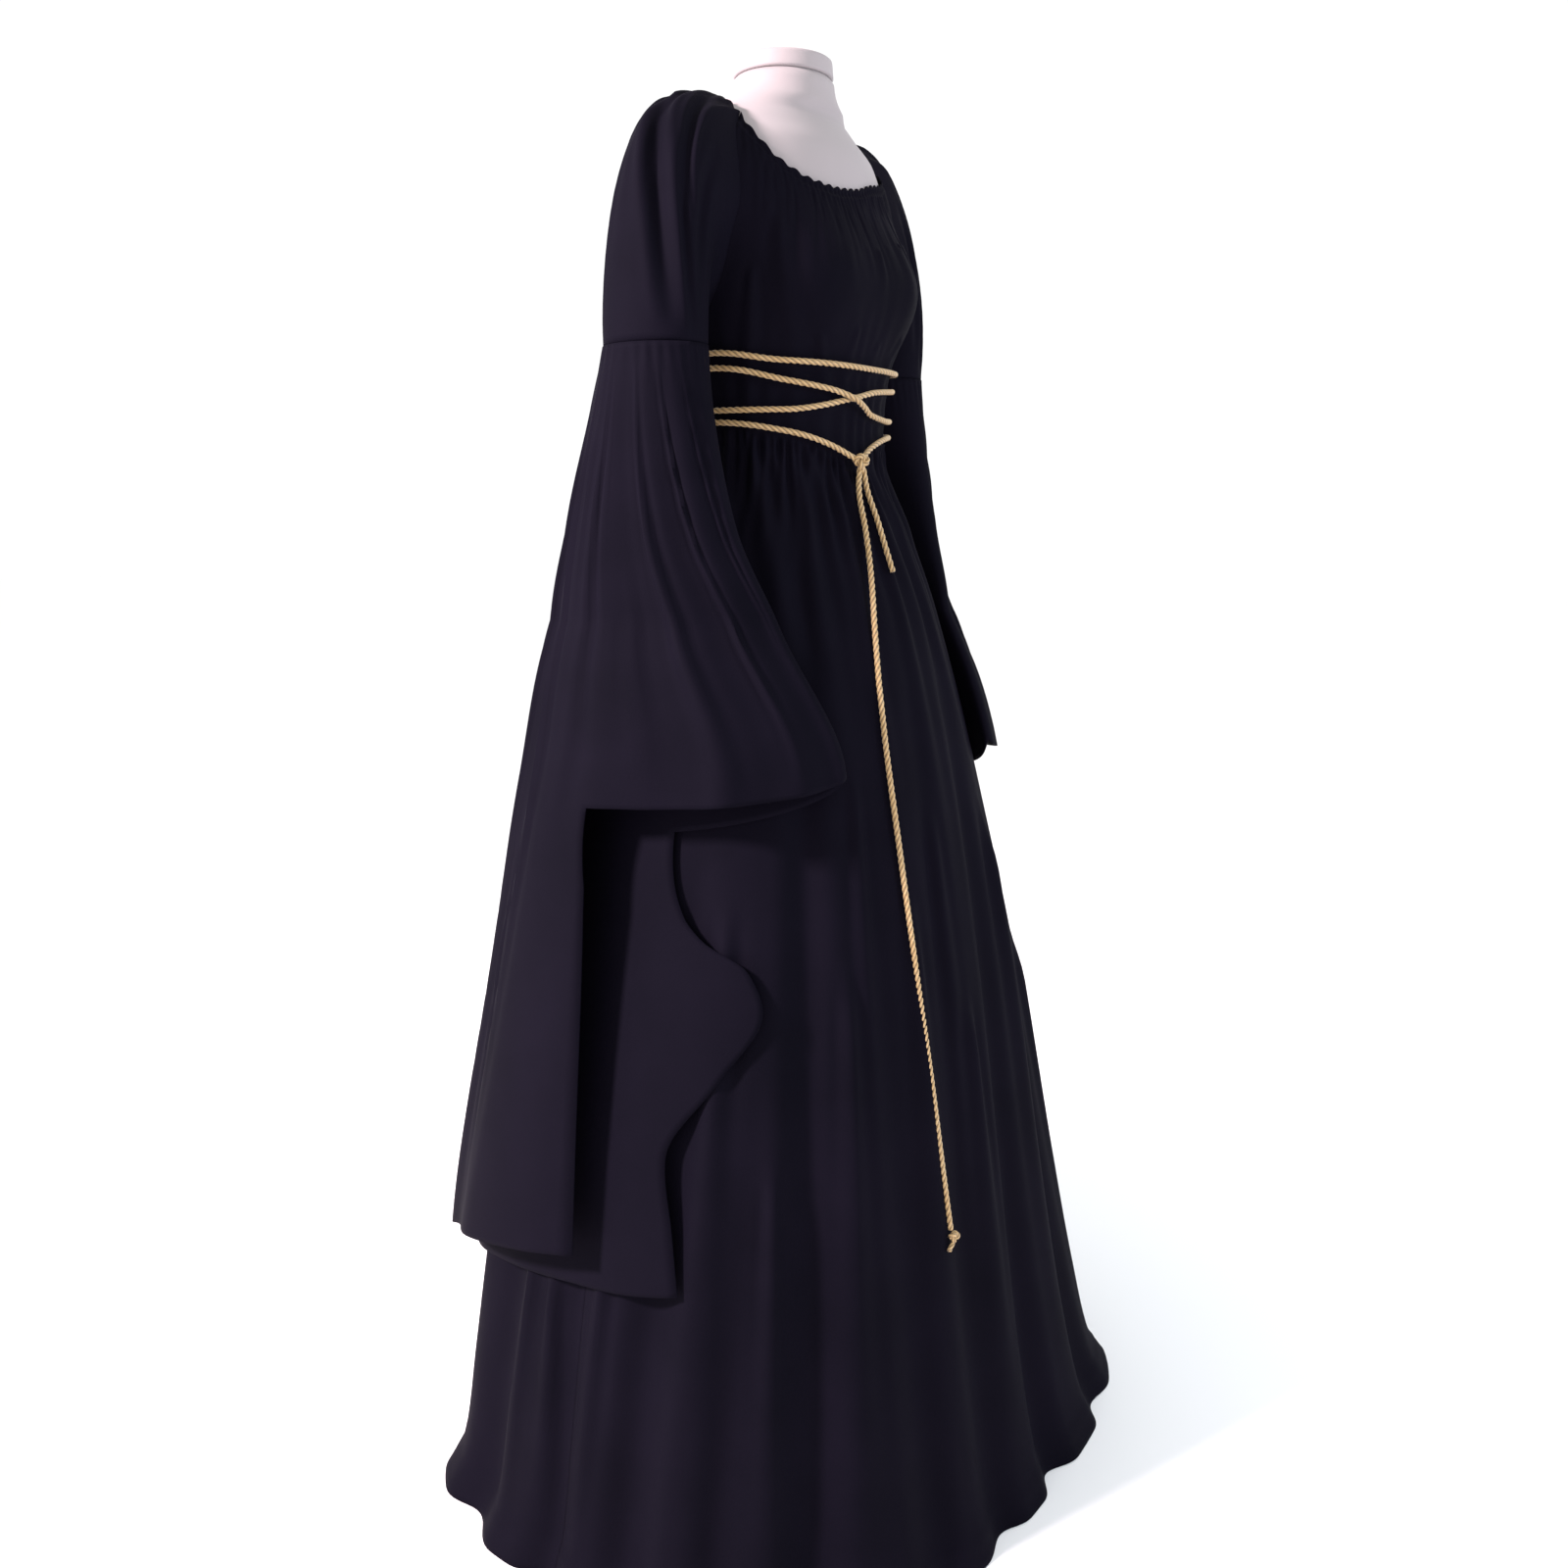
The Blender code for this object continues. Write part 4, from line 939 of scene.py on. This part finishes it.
def add_lower_sleeve(name, node, creases, mirror):
    flip = np.array([mirror, 1, 1])
    shape = bmesh.new()
    for columns, rows, spot, cut in (
        (SLEEVE_COLUMNS, TUBE_ROWS, tube_spot, (0, 0.50, 0.92, 0.42)),
        (DROP_COLUMNS, DROP_ROWS, drop_spot, (0.276, 0, 0.46, 0.50)),
    ):
        def base(u, v, spot=spot):
            return sleeve_point(*spot(u, v)) * flip

        def relief(u, v, spot=spot):
            return sleeve_relief(creases, *spot(u, v))

        lay_grid(shape, columns, rows, relieved(base, relief, mirror), cut)
    middle = sleeve_point(np.array([90.0]), np.array([1.0]))[0] * flip
    piece = finish_cloth(name, shape, (middle, np.array([-mirror, 0, 0])), node)
    return piece


for name, node, creases, mirror in (
    ("lower_sleeve_right", "sleeve_lower_right", RIGHT_SLEEVE_CREASES, 1),
    ("lower_sleeve_left", "sleeve_lower_left", LEFT_SLEEVE_CREASES, -1),
):
    add_lower_sleeve(name, node, creases, mirror)

# %% [markdown]
# The upper sleeve goes from the armhole and the neckline to the elbow seam. Each line down
# it is a soft curve that leaves the armhole sideways and falls onto the elbow's ring.

# %% Upper sleeves
Arc = namedtuple("Arc", "angle height")
NECK_ARC = [
    Arc(77.0, FRONT_CORNER_HEIGHT), Arc(90.0, SHOULDER_NECK_HEIGHT), Arc(118.0, BACK_NECK_HEIGHT),
]
Head = namedtuple("Head", "share lead rise drop")
SLEEVE_HEAD = [
    Head(0.00, 0.009, 0.004, 0.016), Head(0.18, 0.040, 0.002, 0.066),
    Head(0.36, 0.080, 0.006, 0.150), Head(0.50, 0.104, 0.010, 0.185),
    Head(0.64, 0.080, 0.006, 0.150), Head(0.82, 0.040, 0.002, 0.066),
    Head(1.00, 0.009, 0.004, 0.016),
]
SEAM_SHARE, SLEEVE_SCALLOPS = 0.36, 3.0
UpperCrease = namedtuple("UpperCrease", "top_share top_fall low_share low_fall width depth")
UPPER_CREASES = [
    UpperCrease(0.50, 0.24, 0.37, 0.98, 0.026, 0.0085), UpperCrease(0.42, 0.08, 0.33, 0.66, 0.016, 0.0045),
    UpperCrease(0.47, 0.05, 0.46, 0.42, 0.014, 0.0030), UpperCrease(0.52, 0.04, 0.53, 0.50, 0.014, 0.0032),
    UpperCrease(0.57, 0.06, 0.60, 0.60, 0.016, 0.0034), UpperCrease(0.62, 0.10, 0.70, 0.80, 0.020, 0.0045),
    UpperCrease(0.28, 0.20, 0.27, 0.90, 0.018, 0.0036), UpperCrease(0.74, 0.22, 0.76, 0.92, 0.020, 0.0040),
    UpperCrease(0.38, 0.45, 0.30, 1.00, 0.014, 0.0030), UpperCrease(0.58, 0.50, 0.64, 1.00, 0.018, 0.0034),
]


def armhole_place(share):
    front = np.clip(share / SEAM_SHARE, 0, 1)
    behind = np.clip((1 - share) / SEAM_SHARE, 0, 1)
    along = np.clip((share - SEAM_SHARE) / (1 - 2 * SEAM_SHARE), 0, 1)
    arc_angle = NECK_ARC[0].angle + (NECK_ARC[-1].angle - NECK_ARC[0].angle) * along
    arc_height = read(NECK_ARC, arc_angle).height
    rise = FRONT_CORNER_HEIGHT - UNDERARM_HEIGHT
    back_rise = BACK_NECK_HEIGHT - UNDERARM_HEIGHT
    on_front, on_back = share < SEAM_SHARE, share > 1 - SEAM_SHARE
    angle = np.where(on_front, read(RAGLAN, front).front,
                     np.where(on_back, 180 - read(RAGLAN, behind).back, arc_angle))
    height = np.where(on_front, UNDERARM_HEIGHT + front * rise,
                      np.where(on_back, UNDERARM_HEIGHT + behind * back_rise, arc_height))
    scallop = SCALLOP * np.cos(2 * math.pi * SLEEVE_SCALLOPS * (2 * along - 1))
    return angle, height + np.where(on_front | on_back, 0, scallop)


LEFT_LIFT = 0.011


def upper_point(u, v):
    share, t = u % 1.0, (1 - v)[:, None]
    angle, height = armhole_place(share)
    head = read(SLEEVE_HEAD, share)
    first = place_at(angle, height, gown_radius(angle, height))
    elbow = np.full(np.shape(share), ELBOW_HEIGHT)
    last = sleeve_point(360 * share - 90, elbow)
    zero = np.zeros_like(share)
    lead = first + np.stack([-head.lead, zero, head.rise], axis=-1)
    drop = last + np.stack([zero, zero, head.drop], axis=-1)
    return first * (1 - t) ** 3 + lead * 3 * t * (1 - t) ** 2 + drop * 3 * t * t * (1 - t) + last * t ** 3


def upper_relief(u, v):
    share, fall = u % 1.0, 1 - v
    relief = np.zeros(np.shape(u))
    for crease in UPPER_CREASES:
        down = (fall - crease.top_fall) / (crease.low_fall - crease.top_fall)
        t = np.clip(down, 0, 1)
        centre = crease.top_share + (crease.low_share - crease.top_share) * t
        across = (share - centre) / crease.width
        shape = bell(across, 1) - CREASE_LIP * (bell(across - 1.7, 0.8) + bell(across + 1.7, 0.8))
        relief -= np.where((down > 0) & (down < 1), crease.depth * np.sin(math.pi * t) ** 0.7 * shape, 0)
    along = (share - SEAM_SHARE) / (1 - 2 * SEAM_SHARE)
    on_neck = (along > 0) & (along < 1)
    gathered = np.where(on_neck, np.sin(math.pi * np.clip(along, 0, 1)) ** 0.3, 0)
    neck_drop = fall * 0.26
    neck = casing_relief(neck_drop, SLEEVE_SCALLOPS * (2 * along - 1)) * gathered
    seam = SEAM_SINK * np.where(on_neck, 0, bell(fall, 0.03)) + 0.0004 * bell(1 - fall, 0.02)
    return relief * np.clip(fall / 0.05, 0, 1) * np.clip((1 - fall) / 0.05, 0, 1) + neck - seam


def add_upper_sleeve(name, node, mirror):
    flip = np.array([mirror, 1, 1])
    shape = bmesh.new()
    lift = LEFT_LIFT if mirror < 0 else 0.0

    def base(u, v):
        points = upper_point(u, v) * flip
        points[:, 2] += lift * bell(1 - v - 0.24, 0.15) * bell(u % 1 - 0.5, 0.24)
        return points

    place = relieved(base, upper_relief, -mirror)
    lay_grid(shape, 168, 72, place, (0, 0, 0.62, 0.30))
    middle = upper_point(np.array([0.5]), np.array([0.4]))[0] * flip
    piece = finish_cloth(name, shape, (middle, np.array([-mirror, 0, 0])), node)
    return piece


for name, node, mirror in (
    ("upper_sleeve_right", "sleeve_upper_right", 1), ("upper_sleeve_left", "sleeve_upper_left", -1),
):
    add_upper_sleeve(name, node, mirror)

# %% [markdown]
# The dress form is covered in smooth cream jersey. Its torso lies a little inside the
# cloth, and its neck ends in a flat cap.

# %% The dress form
Inset = namedtuple("Inset", "height front side shoulder")
FORM_INSET = [
    Inset(0.86, 0.034, 0.034, 0.0), Inset(1.02, 0.016, 0.016, 0.0), Inset(1.08, 0.008, 0.008, 0.0),
    Inset(1.16, 0.008, 0.008, 0.0), Inset(1.25, 0.006, 0.008, 0.002),
    Inset(1.30, 0.003, 0.008, 0.010), Inset(1.344, 0.0009, 0.006, 0.022),
    Inset(1.365, 0.0014, 0.006, 0.030), Inset(1.385, 0.003, 0.006, 0.030),
    Inset(1.402, 0.006, 0.010, 0.018), Inset(1.42, 0.010, 0.012, 0.004),
    Inset(1.43, 0.0, 0.0, 0.0), Inset(1.48, 0.0, 0.0, 0.0),
]
WALL = 0.0016
SHOULDER_ANGLE, SHOULDER_SPREAD = 97.0, 11.0
FORM_FOOT, FORM_TOP = 0.86, 1.46
CAP_FOOT, CAP_TOP, CAP_EDGE = 1.4603, 1.478, 0.004
JERSEY = (0.35, 0.308, 0.312)


def make_jersey():
    material, shader = new_material("cream_jersey", 0.72)
    shader.inputs["Sheen Weight"].default_value = 0.15
    place = add_node(material, "TexCoord").outputs["Object"]
    patch = add_node(material, "TexNoise", Vector=place, Scale=14.0, Detail=3.0).outputs[0]
    darker = tuple(0.93 * value for value in JERSEY)
    link(material, two_colours(material, patch, darker, JERSEY), shader.inputs["Base Color"])
    spot = add_node(material, "UVMap", {"uv_map": "cut"}).outputs[0]
    parts = add_node(material, "SeparateXYZ", Vector=spot)
    wale = math_node(material, "SINE", math_node(material, "MULTIPLY", parts.outputs[0], 2 * math.pi * 900))
    course = math_node(material, "SINE", math_node(material, "MULTIPLY", parts.outputs[1], 2 * math.pi * 1100))
    bump = add_node(material, "Bump", Strength=0.12, Distance=0.0002,
                    Height=math_node(material, "MULTIPLY", wale, course))
    link(material, bump.outputs[0], shader.inputs["Normal"])
    return material


cream_jersey = make_jersey()


def form_radius(angle, height):
    row = read(FORM_INSET, height)
    facing = np.clip(np.cos(np.radians(angle)), 0, 1) ** 2
    inset = row.side + (row.front - row.side) * facing
    side = sum(bell(turn_between(angle, way * SHOULDER_ANGLE), SHOULDER_SPREAD) for way in (-1, 1))
    return gown_radius(angle, height) - WALL - inset + row.shoulder * side


def add_turned(name, node, foot, top, rows, rim):
    """A closed round solid with softened rims, read from the form's own radius."""
    shape = bmesh.new()

    def place(u, v):
        rise = foot + (top - foot) * v
        near = np.minimum(rise - foot, top - rise)
        soft = np.clip(1 - near / rim, 0, 1)
        inset = rim * (1 - np.sqrt(1 - soft ** 2 * 0.98))
        return place_at(360 * u, rise, form_radius(360 * u, rise) - inset)

    lay_grid(shape, 96, rows, place, (0, 0, 0.7, top - foot))
    bmesh.ops.remove_doubles(shape, verts=shape.verts, dist=1e-6)
    open_edges = [edge for edge in shape.edges if edge.is_boundary]
    caps = bmesh.ops.holes_fill(shape, edges=open_edges, sides=0)["faces"]
    bmesh.ops.inset_region(shape, faces=caps, thickness=rim)
    bmesh.ops.recalc_face_normals(shape, faces=shape.faces)
    item = finish_mesh(name, shape, cream_jersey)
    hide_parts(node)
    return item


add_turned("form", "form_torso", FORM_FOOT, FORM_TOP, 120, 0.004)
add_turned("neck_cap", "form_neck_cap", CAP_FOOT, CAP_TOP, 12, 0.0025)

# %% [markdown]
# The stand is hidden by the skirt. Its plate and pole keep the frame's own shapes and get
# a black powder coat: a fine orange-peel bump and slightly uneven roughness.

# %% The stand


def make_powder_coat():
    material, shader = new_material("powder_coat", 0.5)
    shader.inputs["Base Color"].default_value = (0.028, 0.028, 0.030, 1)
    place = add_node(material, "TexCoord").outputs["Object"]
    grain = add_node(material, "TexNoise", Vector=place, Scale=420.0, Detail=2.0).outputs[0]
    wear = add_node(material, "TexNoise", Vector=place, Scale=11.0, Detail=4.0).outputs[0]
    link(material, math_node(material, "MULTIPLY_ADD", wear, 0.25, 0.38), shader.inputs["Roughness"])
    bump = add_node(material, "Bump", Strength=0.3, Distance=0.0003, Height=grain)
    link(material, bump.outputs[0], shader.inputs["Normal"])
    return material


powder_coat = make_powder_coat()
for node in ("stand_base", "stand_pole"):
    nodes[node].data.materials.clear()
    nodes[node].data.materials.append(powder_coat)

# %% [markdown]
# A white floor and a white room give the soft light of a plain studio. One large lamp from
# the front left of the view draws the folds, and a bluish one fills from the other side.

# %% Floor and light
FLOOR_SIZE = 60.0
Lamp = namedtuple("Lamp", "name place size watts colour")
LAMPS = [
    Lamp("key", (-2.5, 1.2, 2.3), 0.45, 270.0, (1.0, 0.84, 0.89)),
    Lamp("fill", (1.0, -2.7, 1.5), 0.6, 30.0, (0.62, 0.78, 1.0)),
]


def add_floor():
    shape = bmesh.new()
    bmesh.ops.create_grid(shape, x_segments=8, y_segments=8, size=FLOOR_SIZE / 2)
    bmesh.ops.translate(shape, vec=(0, 0, -0.0005), verts=shape.verts)
    mesh = bpy.data.meshes.new("floor")
    shape.to_mesh(mesh)
    shape.free()
    material, shader = new_material("white_floor", 0.9)
    shader.inputs["Base Color"].default_value = (0.96, 0.96, 0.96, 1)
    mesh.materials.append(material)
    floor = bpy.data.objects.new("floor", mesh)
    bpy.context.scene.collection.objects.link(floor)


def add_lamps():
    for lamp in LAMPS:
        data = bpy.data.lights.new(lamp.name, "AREA")
        data.shape, data.size, data.energy, data.color = "DISK", lamp.size, lamp.watts, lamp.colour
        item = bpy.data.objects.new(lamp.name, data)
        item.location = lamp.place
        aim = np.array([0, 0, 0.85]) - np.array(lamp.place)
        flat = math.hypot(aim[0], aim[1])
        item.rotation_euler = (math.atan2(flat, -aim[2]), 0, math.atan2(-aim[0], aim[1]))
        bpy.context.scene.collection.objects.link(item)


def add_room():
    world = bpy.data.worlds.new("room")
    world.use_nodes = True
    world.node_tree.nodes["Background"].inputs["Color"].default_value = (1, 1, 1, 1)
    world.node_tree.nodes["Background"].inputs["Strength"].default_value = 1.05
    bpy.context.scene.world = world
    bpy.context.scene.view_settings.view_transform = "Standard"


add_floor()
add_lamps()
add_room()
